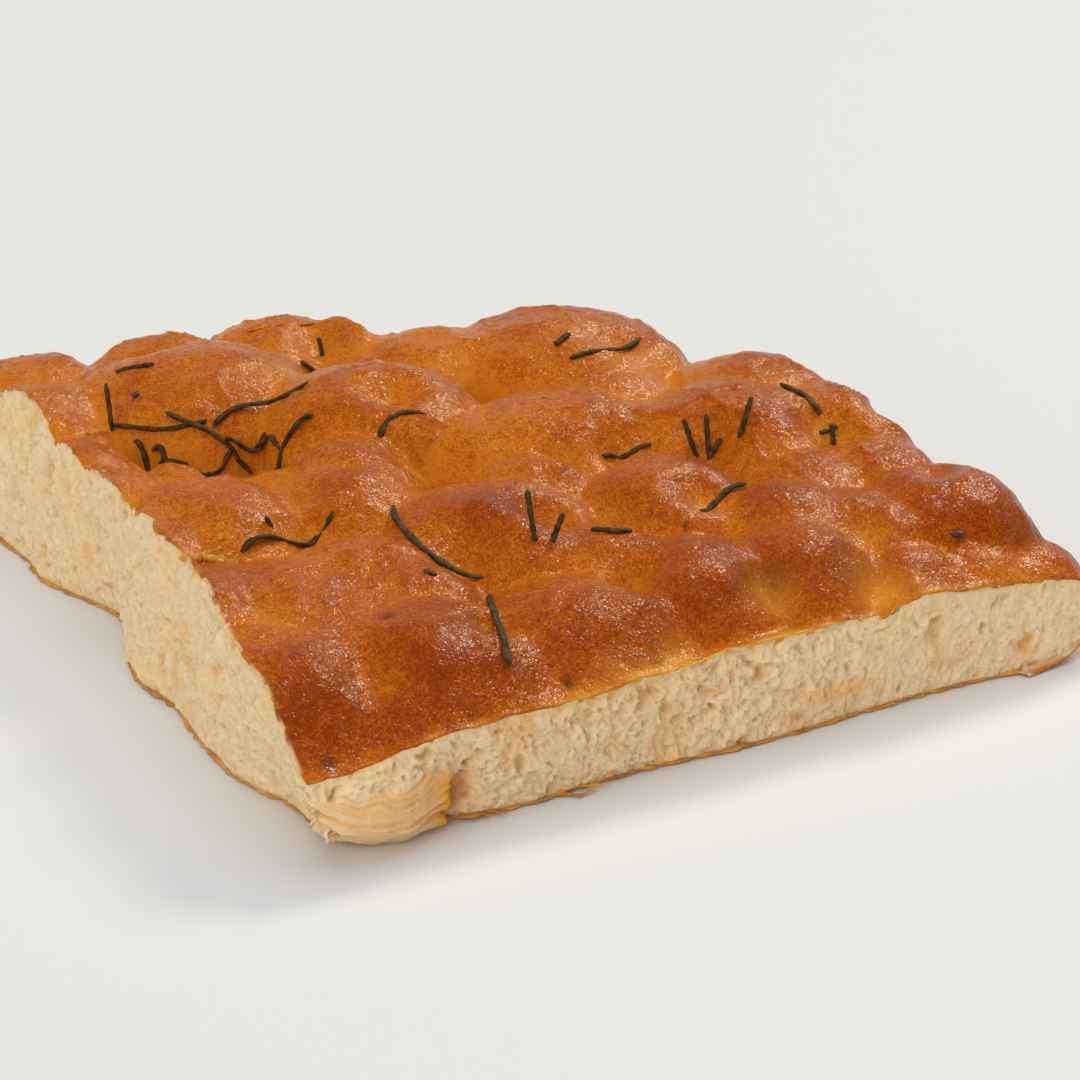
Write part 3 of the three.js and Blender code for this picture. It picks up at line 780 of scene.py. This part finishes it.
def base_material():
    """Browned base: orange-brown with darker specks."""
    colours = bpy.context.scene.focaccia_colours
    return speckled_material(
        "browned_base", (160.0, 4.0, 0.65, 0.0), (0.35, 0.65), (colours.crust_gold, colours.base_brown),
        (0.5, 0.0003), {"Roughness": 0.6},
    )


def seed_material():
    """Seeds baked dark, with a bluish grey bloom."""
    colours = bpy.context.scene.focaccia_colours
    return speckled_material(
        "dark_seed", (600.0, 3.0, 0.6, 0.0), (0.4, 0.7), (colours.mark, colours.seed_bloom),
        (0.5, 0.0002), {"Roughness": 0.45},
    )


def rosemary_material():
    """Baked needles: dark olive brown, with lighter streaks laid at random as a painted highlight."""
    colours = bpy.context.scene.focaccia_colours
    return speckled_material(
        "baked_rosemary", (500.0, 3.0, 0.6, 0.0), (0.35, 0.7), (colours.rosemary, colours.rosemary_painted_highlight),
        (0.6, 0.0003), {"Roughness": 0.6, "Specular IOR Level": 0.25},
    )


# Pieces

class FOCACCIA_OT_crust(bpy.types.Operator):
    """Make the domed top crust with its baked edge"""

    bl_idname = "focaccia.crust"
    bl_label = "Crust"

    def execute(self, context):
        smooth = self.smooth_sheet()
        normals = grid_normals(smooth)
        sheet = self.roughened(smooth, normals)
        points, quads, tris, cut = self.closed(sheet, normals)
        attributes = self.masks(smooth, sheet, normals, cut)
        add_piece(smooth_mesh("top_crust", points, quads, tris, attributes), crust_material())
        return {"FINISHED"}

    def smooth_sheet(self):
        """The crust as a grid of points: the patch inside the outline at the top's height, then rows
        that turn under from the baked edge to the table."""
        u = np.linspace(0.0, 1.0, 236)
        u = u + 0.012 * np.sin(np.pi * u) ** 2 * u
        plan = plan_patch(u, np.linspace(0.0, 1.0, 262))
        top = np.concatenate([plan, top_height(plan[..., 0], plan[..., 1])[..., None]], -1)
        edge = top[-1]
        inwards = self.eased(left_of(edge[:, :2]))
        shares = np.linspace(0.0, 1.0, 19)[1:]
        return np.concatenate([top, [under_edge(edge, inwards, share) for share in shares]])

    def eased(self, directions):
        """Directions averaged with their neighbours, so that the underside does not fold at a notch."""
        width = 31
        kernel = np.ones(width) / width
        grown = np.pad(directions, [(width // 2, width // 2), (0, 0)], mode="edge")
        return unit(np.stack([np.convolve(grown[:, a], kernel, "valid") for a in (0, 1)], -1))

    def roughened(self, smooth, normals):
        """The sheet with its relief along the normals, fading at the table, and with the cut rim torn
        in plan by noise that fades with the exponential of the distance to the cut."""
        seed = bpy.context.scene.focaccia_shape.relief_seed
        relief = crust_relief(smooth) * ramp(0.0, 4.0, smooth[..., 2])
        sheet = smooth + normals * relief[..., None]
        tear = 0.55 * layered_noise(sheet / 2.4, seed + 20, 2) * np.exp(-distance_to_cut(smooth) / 1.5)
        sheet[..., :2] += unit(sheet[..., :2] - MIDDLE) * tear[..., None]
        return sheet

    def closed(self, sheet, normals):
        """Points and faces of the sheet made solid: its border drops by the crust's thickness, steps
        inwards twice below the top, and closes on the middle. The dropped border comes back too."""
        rows, columns = sheet.shape[:2]
        k = np.arange(rows * columns).reshape(rows, columns)
        border = np.concatenate([k[:-1, 0], k[-1, :-1], k[:0:-1, -1], k[0, :0:-1]])
        points = sheet.reshape(-1, 3)
        thickness = bpy.context.scene.focaccia_shape.crust_thickness
        first = points[border] - normals.reshape(-1, 3)[border] * thickness
        toward = unit(MIDDLE - first[:, :2])
        second = first.copy()
        second[:, :2] += toward * 5.0
        second[:, 2] = np.minimum(second[:, 2], top_height(*second.T[:2]) - 1.5)
        third = second.copy()
        third[:, :2] += toward * 12.0
        inner_height = 11.0
        third[:, 2] = np.minimum(third[:, 2], inner_height)
        n, m = len(points), len(border)
        rings = [border, *(np.arange(m) + n + m * j for j in range(3))]
        points = np.concatenate([points, first, second, third, [[*MIDDLE, inner_height]]])
        points[:, 2] = np.maximum(points[:, 2], 0.05)
        quads = np.concatenate([grid_quads(rows, columns), ring_quads(rings)])
        return points, quads, fan(rings[-1], n + 3 * m, faces_down=True), first

    def masks(self, smooth, sheet, normals, cut):
        """Attributes of the sheet and the rings beneath it. Baking grows on humps and near the corner.
        Painted shade darkens the steep flanks, most at the front, where the crust is also partly burnt,
        and painted sheen lightens the crust towards the back. Gold lies along the cut rim and in the
        front's dimples. Marks are bells, and the torn left rim is bare."""
        seed = bpy.context.scene.focaccia_shape.relief_seed
        x, y, height = smooth[..., 0], smooth[..., 1], sheet[..., 2]
        rim = distance_to_cut(smooth)
        spread = layered_noise(sheet / 24.0, seed + 9)
        front = 1.0 - ramp(12.0, 42.0, y)
        hump = np.clip(height - blurred(height, 25), -4.0, 3.0)
        flank = 1.0 - np.abs(normals[..., 2])
        # Painted shade: darker on steep flanks, strongest near the front, where the crust is also partly
        # burnt.
        bake_shade_and_sheen = 0.46 + 0.07 * hump + 0.16 * spread + (0.08 + 0.62 * front) * flank
        # Darker by the near corner, and painted sheen: lighter towards the back.
        bake_shade_and_sheen += 0.16 * front * (1.0 - ramp(70.0, 120.0, x)) - 0.26 * ramp(40.0, 160.0, y)

        width = 0.55 + 2.6 * bell(x, 74.0, 22.0) + 2.4 * bell(x, 118.0, 15.0) + 1.2 * bell(x, 160.0, 14.0)
        width = width * (0.8 + 0.7 * layered_noise(sheet / 6.0, seed + 12, 2)).clip(0.3)
        patchy = 0.1 + 0.3 * width + 0.4 * layered_noise(sheet / 4.0, seed + 14, 2)
        pits = greatest_bell(x, y, [(px, py, reach / 1.6**0.5, 1.0) for px, py, reach, _ in DIMPLES])
        pits = pits * front * ramp(60.0, 85.0, x) * (0.35 + 0.4 * spread)
        gold = np.clip(np.exp(-rim / width) * np.clip(patchy, 0.0, 1.0) + pits, 0.0, 1.0)
        cut_gold = np.clip(0.35 + 0.6 * layered_noise(cut / 5.0, seed + 22, 2), 0.0, 1.0)

        mark = greatest_bell(x, y, [(mx, my, reach, dark) for mx, my, reach, _, dark in MARKS])
        torn = ramp(2.0, 5.0, y) * (1.0 - ramp(70.0, 90.0, y))
        bare = ramp(0.0, 0.6, torn * (0.5 + 1.2 * layered_noise(sheet / 3.5, seed + 18, 2)) - rim)
        cut_bare = ramp(-0.3, 0.5, layered_noise(cut / 3.0, seed + 24, 2))
        hidden = 2 * len(cut) + 1
        return {
            "bake_shade_and_sheen": np.append(bake_shade_and_sheen, np.full(len(cut) + hidden, 0.2)),
            "gold": np.concatenate([gold.ravel(), cut_gold, np.ones(hidden)]),
            "mark": np.append(mark, np.zeros(len(cut) + hidden)),
            "bare": np.concatenate([bare.ravel(), cut_bare, np.ones(hidden)]),
        }


class FOCACCIA_OT_crumb(bpy.types.Operator):
    """Make the cut crumb faces"""

    bl_idname = "focaccia.crumb"
    bl_label = "Crumb"

    def execute(self, context):
        wall, masks = self.wall(context.scene.focaccia_shape.relief_seed)
        toward = unit(MIDDLE - wall[:, -1, :2])
        shelf = wall[:, -1, :2] + toward * 1.8
        by_baked_edge = 1.0 - ramp(8.0, 14.0, baked_inset(*shelf.T))
        shelf = np.concatenate([shelf, top_height(*shelf.T)[:, None]], -1)
        shelf[:, 2] += crust_relief(shelf) - 0.55 - 3.0 * by_baked_edge
        lower = np.concatenate([shelf[:, :2] + toward * 3.5, shelf[:, 2:] - 4.0], -1)
        sunk = np.concatenate([lower[:, :2] + toward * 6.0, np.full((len(wall), 1), 8.0)], -1)
        hidden = np.stack([shelf, lower, sunk], axis=1)
        grid = np.concatenate([wall, hidden], axis=1)
        points = np.concatenate([grid.reshape(-1, 3), [[*MIDDLE, 9.0], [*MIDDLE, 0.6]]])
        rings = np.arange(grid[..., 0].size).reshape(grid.shape[:2]).T
        fans = np.concatenate([
            fan(rings[-1], len(points) - 2),
            fan(rings[0], len(points) - 1, faces_down=True),
        ])
        masks = {key: np.append(np.pad(mask, [(0, 0), (0, 3)]), [0, 0]) for key, mask in masks.items()}
        piece = smooth_mesh("cut_crumb", points, ring_quads(rings[::-1]), fans, masks)
        add_piece(piece, crumb_material())
        return {"FINISHED"}

    def smooth_wall(self):
        """The wall before its relief, as columns all round: each runs from a base point to an edge
        point, straight on the cuts, as a quarter ellipse under the baked edge, and bulging at the
        toe. Also the edge points, and the crust's height above each column."""
        edge, base, turn = (np.concatenate(parts) for parts in zip(*sides_in_turn(CRUMB_COLUMNS)))
        rim = np.concatenate([edge, top_height(*edge.T)[:, None]], -1)
        top = (rim[:, 2] + crust_relief(rim) - 0.2)[:, None]
        toe = (bell(edge[:, 0], 1.0, TOE_REACH) * bell(edge[:, 1], FRONT_LEFT[1], TOE_REACH))[:, None]
        turn = turn[:, None]
        share = np.linspace(0.0, 1.0, CRUMB_ROWS)
        angle = share * math.pi / 2
        out = share + (np.sin(angle) ** 0.8 - share) * np.maximum(turn, np.clip(toe * 1.6, 0.0, 1.0))
        up = share + (1.0 - np.cos(angle) - share) * turn
        plan = base[:, None] + (edge - base)[:, None] * out[..., None]
        plan[..., 1] -= TOE_BULGE * toe * np.sin(share * math.pi)
        lowest = 0.5
        height = lowest + (top - lowest) * up
        return np.concatenate([plan, height[..., None]], -1), edge, top

    def wall(self, seed):
        """The wall with its crumb: pores, streaks and strands pushed in or out along its normals in
        plan, and its attributes, among them painted shade in the pores and the toe's hollow. Along
        runs right from the corner, and left of it below -16."""
        wall, edge, top = self.smooth_wall()
        share = np.linspace(0.0, 1.0, CRUMB_ROWS)
        side = np.repeat(list(CRUMB_COLUMNS), list(CRUMB_COLUMNS.values()))[:, None]
        along = np.where(side == "front", edge[:, :1], -16.0 - edge[:, 1:])
        left = -16.0 - along
        height = wall[..., 2]
        tangent = np.roll(wall, -1, axis=0) - np.roll(wall, 1, axis=0)
        outwards = unit(np.stack([tangent[..., 1], -tangent[..., 0], 0.0 * height], -1))

        skin, flap, shaded_hollow = self.toe_masks(along, height, wall, seed)
        hang = height - 0.016 * (along - 5.0) ** 2 + 1.2 * smooth_noise(wall / 5.0, seed + 60)
        folds = np.stack(np.broadcast_arrays(hang / 1.5, along / 14.0, 0.0), -1)
        strands = layered_noise(folds, seed + 61, 2)
        depth, pore_shade = self.pores(wall, seed)
        calm = 1.0 - 0.45 * ramp(105.0, 150.0, along)
        lip = 0.9 * bell(share, 0.96, 0.1) * ramp(0.0, 14.0, left) * (1.0 - ramp(75.0, 110.0, left))
        lip = lip * (0.6 + 0.9 * smooth_noise(wall / 3.0, seed + 70))
        streaks = 0.5 * layered_noise(wall / np.array([2.6, 2.6, 14.0]), seed + 66, 2) * ramp(0.0, 20.0, left)
        foot = ramp(0.0, 0.06, share) * (1.0 - 0.65 * ramp(0.86, 1.0, share))
        depth = (depth * calm * (1.0 - 0.75 * skin) - 0.75 + streaks) * foot
        depth = depth + shaded_hollow * 4.6 - skin * (1.0 + 1.1 * strands) - flap * 2.4 - lip
        baked_side_inset = 5.0
        depth = np.where(side == "right", baked_side_inset, depth)
        wall = wall - outwards * depth[..., None]

        under_rim = 0.45 * np.exp(-(top - height) / (0.5 + 2.2 * bell(along, 74.0, 30.0)))
        over_base = np.exp(-height / 1.1) * (0.4 + 0.6 * smooth_noise(wall / 5.0, seed + 72))
        patches = 0.4 * ramp(0.4, 1.0, layered_noise(wall / 9.0, seed + 75, 2))
        # Painted shade: the toe's hollow is coloured darker, here and in the pores' mask.
        toe = flap + shaded_hollow * 0.5 + 0.35 * skin * ramp(4.0, 16.0, along)
        return wall, {
            "pore_shade": np.clip(pore_shade + shaded_hollow, 0.0, 1.0) * (1.0 - skin),
            "gold": np.clip(under_rim + over_base + toe + patches, 0.0, 1.0),
            "skin": np.clip(skin * (0.6 - 0.7 * strands), 0.0, 1.0),
        }

    def toe_masks(self, along, height, wall, seed):
        """Where the toe's stretched skin lies, the skin's upturned right edge, and the hollow beside it,
        which is sunk and also painted darker as shade; along runs to the right from the corner on the
        front and to the left round it."""
        ripple = 1.5 * smooth_noise(wall / 4.0, seed + 65)
        skin = ramp(-18.0, -14.0, along + ripple) * (1.0 - ramp(16.5, 18.5, along))
        skin = skin * (1.0 - ramp(-1.0, 1.0, height - TOE_SKIN_TOP + ripple))
        flap = bell(along, 17.0 + 0.12 * height, 2.1) * (1.0 - ramp(14.0, 18.0, height + ripple))
        shaded_hollow = bell(along, 24.5, 3.6) * bell(height, 8.5, 4.5)
        return skin, flap, shaded_hollow

    def pores(self, wall, seed):
        """Depth of the crumb's relief, and the painted shade of each point, which grows with that depth
        and inside each pore: soft noise, torn ridges where another noise crosses zero, and hollows of
        four sizes, each a share of the cells of a random cell pattern whose points are first bent by
        noise."""
        bend = np.stack([layered_noise(wall / 5.0, seed + 40 + a, 2) for a in range(3)], -1) * 2.0
        bend += np.stack([smooth_noise(wall / 1.5, seed + 45 + a) for a in range(3)], -1) * 0.45
        bent = wall + bend
        depth = 0.9 * layered_noise(bent / 3.6, seed + 50, 3) + 0.5 * layered_noise(wall / 1.1, seed + 54, 2)
        ridges = (1.0 - np.abs(smooth_noise(bent / 2.8, seed + 57))) ** 4
        depth = depth + 0.4 - 0.8 * ridges
        # Painted shade: darker where the relief sinks deeper.
        pore_shade = 0.4 * ramp(0.0, 1.6, depth)
        for size, deep, often in PORES:
            gap, tag = nearest_cell(bent / size, seed + int(size * 10))
            reach = 0.28 + 0.3 * tag / often
            inside = np.where(tag < often, ramp(0.0, 1.0, 1.0 - gap / reach), 0.0)
            depth = depth + deep * inside
            pore_shade = np.maximum(pore_shade, inside * min(1.0, 0.35 + deep * 0.35))
        return depth, pore_shade


class FOCACCIA_OT_base(bpy.types.Operator):
    """Make the browned base with its ragged rim"""

    bl_idname = "focaccia.base"
    bl_label = "Base"

    def execute(self, context):
        shape = context.scene.focaccia_shape
        front, right, far, left = (base for _, base, _ in sides_in_turn(BASE_COLUMNS))
        hidden = 0.06 * ramp(0.0, 0.04, np.linspace(0.0, 1.0, len(right)))[:, None]
        rim = np.concatenate([front, right + (MIDDLE - right) * hidden, far, left])
        tangent = np.roll(rim, -2, axis=0) - np.roll(rim, 2, axis=0)
        outwards = unit(np.stack([tangent[:, 1], -tangent[:, 0]], -1))
        flat = np.pad(rim, [(0, 0), (0, 1)])
        ragged = 0.3 + 0.6 * layered_noise(flat / 2.4, shape.relief_seed + 80, 3)
        thick = shape.base_thickness * (1.0 + 0.5 * layered_noise(flat / 4.0, shape.relief_seed + 90, 2))
        inner = rim + (MIDDLE - rim) * 0.05
        section = [(rim + outwards * (out + ragged)[:, None], up) for out, up in BASE_RIM]
        section = [(inner, 1.0), *section, (inner, 0.0)]
        rings = [np.concatenate([plan, (up * thick)[:, None]], -1) for plan, up in section]
        points = np.concatenate(rings + [[[*MIDDLE, 1.0], [*MIDDLE, 0.0]]])
        loops = np.arange(len(rim) * len(rings)).reshape(len(rings), -1)
        fans = np.concatenate([
            fan(loops[0], len(points) - 2),
            fan(loops[-1], len(points) - 1, faces_down=True),
        ])
        add_piece(smooth_mesh("browned_base", points, ring_quads(loops), fans), base_material())
        return {"FINISHED"}


class FOCACCIA_OT_flakes(bpy.types.Operator):
    """Make the torn fibres, base flakes, crumbs and seeds that cling to the bread"""

    bl_idname = "focaccia.flakes"
    bl_label = "Flakes and seeds"

    def execute(self, context):
        random = np.random.default_rng(context.scene.focaccia_shape.relief_seed)
        self.fibres(random)
        self.base_flakes(random)
        self.crumbs(random)
        self.seeds()
        return {"FINISHED"}

    def directions(self, random, count, centre, spread):
        """Unit vectors scattered about a direction."""
        return unit(np.array(centre) + random.normal(0.0, spread, (count, 3)))

    def slivers(self, starts, headings, lengths, widths, curls, random):
        """Thin tapering slivers: each path runs along its heading, sways as a sine and bends upwards
        by a parabola, and its width falls off with the square root of what is left."""
        t = np.linspace(0.0, 1.0, 9)[None, :, None]
        up = np.array([0.0, 0.0, 1.0])
        wave = 0.15 * np.sin(t * 9.0 + random.uniform(0, 6, (len(starts), 1, 1)))
        side = unit(np.cross(headings, up))
        lengths = lengths[:, None, None]
        paths = starts[:, None] + headings[:, None] * lengths * t
        paths = paths + up * curls[:, None, None] * lengths * t**2 + side[:, None] * wave * lengths * t
        taper = np.sqrt(np.clip(1.02 - t, 0.0, 1.0)) * (1.0 + 0.3 * np.sin(t * 17.0 + wave * 20.0))
        across = side[:, None] * widths[:, None, None] * taper
        over = np.cross(side, headings)[:, None] * SLIVER_THICKNESS * (0.3 + 0.7 * taper)
        return tubes(paths, across, over, 6)

    def fibres(self, random):
        """Pale torn fibres down the left of the cut corner."""
        count = 46
        t = random.uniform(0.0, 1.0, count)
        starts = np.array([-14.2, 1.0, 19.0]) + t[:, None] * np.array([7.5, 2.0, -13.5])
        starts += random.normal(0.0, 0.5, (count, 3))
        headings = self.directions(random, count, (-0.75, -0.5, -0.7), 0.3)
        lengths = random.uniform(1.2, 4.2, count)
        widths = random.uniform(0.3, 0.9, count)
        curls = random.uniform(-0.2, 0.1, count)
        piece = smooth_mesh("torn_fibres", *self.slivers(starts, headings, lengths, widths, curls, random))
        add_piece(piece, fibre_material())

    def base_flakes(self, random):
        """Thin orange flakes of the base that stick out under the front cut."""
        x, y, lengths, widths = np.array(BASE_FLAKES).T
        starts = np.stack([x, y, random.uniform(0.5, 1.4, len(x))], -1)
        headings = self.directions(random, len(x), (0.85, -0.5, -0.06), 0.1)
        headings[:, 2] = 0.0
        curls = random.uniform(0.0, 0.04, len(x))
        piece = smooth_mesh("base_flakes", *self.slivers(starts, headings, lengths, widths, curls, random))
        add_piece(piece, base_material())

    def blobs(self, centres, radii, headings):
        """Rounded grains: tubes along x whose radius follows a half circle, turned to a heading."""
        t = np.linspace(-0.98, 0.98, 9)[None, :, None]
        cos, sin, level = np.cos(headings), np.sin(headings), 0.0 * headings
        paths = centres[:, None] + np.stack([cos, sin, level], -1)[:, None] * radii[:, 0, None, None] * t
        swell = np.sqrt(1.0 - t**2)
        across = np.stack([-sin, cos, level], -1)[:, None] * radii[:, 1, None, None] * swell
        over = np.array([0.0, 0.0, 1.0]) * radii[:, 2, None, None] * swell
        return tubes(paths, across, over, 10)

    def crumbs(self, random):
        """Golden crumbs that cling to the crust by the left cut, roughened by noise."""
        count = 60
        t = random.uniform(0.0, 1.0, count)
        x = -5.0 + 13.0 * t + random.normal(0.0, 1.2, count)
        y = 80.0 + 8.0 * t + random.normal(0.0, 2.0, count)
        size = random.uniform(0.4, 1.3, (count, 1)) * random.uniform(0.6, 1.2, (count, 3))
        z = top_height(x, y) + size[:, 2] * random.uniform(0.1, 0.8, count)
        points, quads, tris = self.blobs(np.stack([x, y, z], -1), size, random.uniform(0, 6.28, count))
        points = points + 0.35 * np.stack([smooth_noise(points / 0.7, 200 + a) for a in range(3)], -1)
        add_piece(smooth_mesh("clinging_crumbs", points, quads, tris), base_material())

    def seeds(self):
        """Dark seeds half sunk in the crust."""
        x, y, length, heading = np.array(SEEDS).T
        centres = np.stack([x, y, top_height(x, y) + 0.35], -1)
        radii = np.stack([length * 0.5, length * 0.3, length * 0.22], -1)
        piece = smooth_mesh("dark_seeds", *self.blobs(centres, radii, np.radians(heading)))
        add_piece(piece, seed_material())


class FOCACCIA_OT_rosemary(bpy.types.Operator):
    """Make the baked rosemary needles"""

    bl_idname = "focaccia.rosemary"
    bl_label = "Rosemary"

    def execute(self, context):
        steps, sides = 22, 12
        width = context.scene.focaccia_shape.needle_width / 2
        needles = [self.needle(index, width, steps, sides) for index in range(len(NEEDLES))]
        faces = tube_faces(len(NEEDLES), steps, sides)
        piece = smooth_mesh("rosemary_needles", np.reshape(needles, (-1, 3)), *faces)
        add_piece(piece, rosemary_material())
        return {"FINISHED"}

    def needle(self, index, width, steps, sides):
        """A flattened, grooved tube along a bowed path, narrowing as a sine to both ends; it lies on
        the crust, or rises from its foot to its tip."""
        x, y, heading, length, bow, rise = NEEDLES[index]
        t = np.linspace(0.0, 1.0, steps)
        a = math.radians(heading)
        side = bow * 4.0 * t * (1.0 - t) + 0.15 * np.sin(t * 7.0 + index)
        px = x + math.cos(a) * length * t - math.sin(a) * side
        py = y + math.sin(a) * length * t + math.cos(a) * side
        if rise > 0:
            pz = top_height(x, y) - 1.0 + (rise + 1.0) * t
        else:
            under = top_height(px, py)
            arc = np.polyval(np.polyfit(t, under, 3), t)
            pz = 0.7 * arc + 0.3 * under + 0.6 * max(0.0, float(np.max(under - arc))) + width * 0.35
        path = np.stack([px, py, pz], -1)
        ahead = unit(np.gradient(path, axis=0))
        helper = np.array([1.0, 0.0, 0.0]) if rise > length else np.array([0.0, 0.0, 1.0])
        right = unit(np.cross(ahead, helper))
        up = np.cross(right, ahead)
        size = width * np.clip(np.sin(np.pi * (0.05 + 0.9 * t)) * 3.2, 0.0, 1.0)
        size = size * (1.0 + 0.12 * np.sin(t * 23.0 + index * 1.7))
        around = np.linspace(0.0, 2 * np.pi, sides, endpoint=False)
        groove = 1.0 - 0.45 * bell(around, math.pi / 2, 0.45)
        across = (np.cos(around) * groove)[None, :, None] * right[:, None]
        over = (np.sin(around) * groove)[None, :, None] * up[:, None] * 0.75
        return path[:, None] + (across + over) * size[:, None, None]


class FOCACCIA_OT_stage(bpy.types.Operator):
    """Make the floor, the lights and the camera"""

    bl_idname = "focaccia.stage"
    bl_label = "Stage"

    def execute(self, context):
        scene = context.scene
        scene.view_settings.view_transform = "Standard"
        self.camera(scene)
        self.floor(scene)
        self.world(scene)
        for name, light in LIGHTS.items():
            self.soft_light(scene, name, *light)
        return {"FINISHED"}

    def camera(self, scene):
        """The camera stands at the near corner's side, looking down across the loaf."""
        data = bpy.data.cameras.new("camera")
        data.lens, data.sensor_width = LENS, SENSOR_WIDTH
        data.clip_start, data.clip_end = 0.01, 50.0
        made = bpy.data.objects.new("camera", data)
        made.location = Vector((CAMERA_PLACE + ORIGIN) * MM)
        made.rotation_euler = (math.radians(90.0 - CAMERA_PITCH), 0.0, math.radians(CAMERA_TURN))
        scene.collection.objects.link(made)
        scene.camera = made

    def floor(self, scene):
        """A wide pale square just beneath the bread."""
        half, level = 6.0, -0.0002
        corners = [(-half, -half, level), (half, -half, level), (half, half, level), (-half, half, level)]
        mesh = bpy.data.meshes.new("floor")
        mesh.from_pydata(corners, [], [(0, 1, 2, 3)])
        floor = bpy.data.objects.new("floor", mesh)
        material, tree, shader, _ = new_material("pale_floor")
        set_inputs(tree, shader, {"Base Color": (0.80, 0.795, 0.79, 1.0), "Roughness": 0.7})
        mesh.materials.append(material)
        scene.collection.objects.link(floor)

    def world(self, scene):
        """Soft white surroundings, bright near the horizon and dim above, so that flat tops mirror
        little of them."""
        world = bpy.data.worlds.new("studio")
        world.use_nodes = True
        tree = world.node_tree
        parts = tree.nodes.new("ShaderNodeSeparateXYZ")
        set_inputs(tree, parts, {0: tree.nodes.new("ShaderNodeTexCoord").outputs["Generated"]})
        strength = map_range(tree, parts.outputs["Z"], 0.28, 0.45, 0.46, 0.07)
        set_inputs(tree, tree.nodes["Background"], {"Color": (0.98, 0.99, 1.0, 1.0), "Strength": strength})
        scene.world = world

    def soft_light(self, scene, name, toward, strength, spread, colour, glossy):
        """A far soft light in the given direction, as wide as its spread in degrees."""
        data = bpy.data.lights.new(name, "SUN")
        data.energy, data.angle, data.color = strength, math.radians(spread), colour
        made = bpy.data.objects.new(name, data)
        made.rotation_euler = (-Vector(toward)).to_track_quat("-Z", "Y").to_euler()
        made.visible_glossy = glossy
        scene.collection.objects.link(made)


class FOCACCIA_PT_panel(bpy.types.Panel):
    """Lists the pieces of the focaccia"""

    bl_label = "Focaccia"
    bl_idname = "FOCACCIA_PT_panel"
    bl_space_type = "VIEW_3D"
    bl_region_type = "UI"
    bl_category = "Focaccia"

    def draw(self, context):
        for group in (context.scene.focaccia_shape, context.scene.focaccia_colours):
            box = self.layout.box()
            for key in group.__annotations__:
                box.prop(group, key)
        for operator in OPERATORS:
            self.layout.operator(operator.bl_idname)


OPERATORS = (
    FOCACCIA_OT_stage,
    FOCACCIA_OT_crust,
    FOCACCIA_OT_crumb,
    FOCACCIA_OT_base,
    FOCACCIA_OT_flakes,
    FOCACCIA_OT_rosemary,
)
CLASSES = (FocacciaShape, FocacciaColours, *OPERATORS, FOCACCIA_PT_panel)


def register():
    for cls in CLASSES:
        bpy.utils.register_class(cls)
    bpy.types.Scene.focaccia_shape = PointerProperty(type=FocacciaShape)
    bpy.types.Scene.focaccia_colours = PointerProperty(type=FocacciaColours)


def unregister():
    del bpy.types.Scene.focaccia_colours
    del bpy.types.Scene.focaccia_shape
    for cls in reversed(CLASSES):
        bpy.utils.unregister_class(cls)


def main():
    register()
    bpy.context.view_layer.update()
    bpy.ops.focaccia.stage()
    bpy.ops.focaccia.crust()
    bpy.ops.focaccia.crumb()
    bpy.ops.focaccia.base()
    bpy.ops.focaccia.flakes()
    bpy.ops.focaccia.rosemary()


if __name__ == "__main__":
    main()
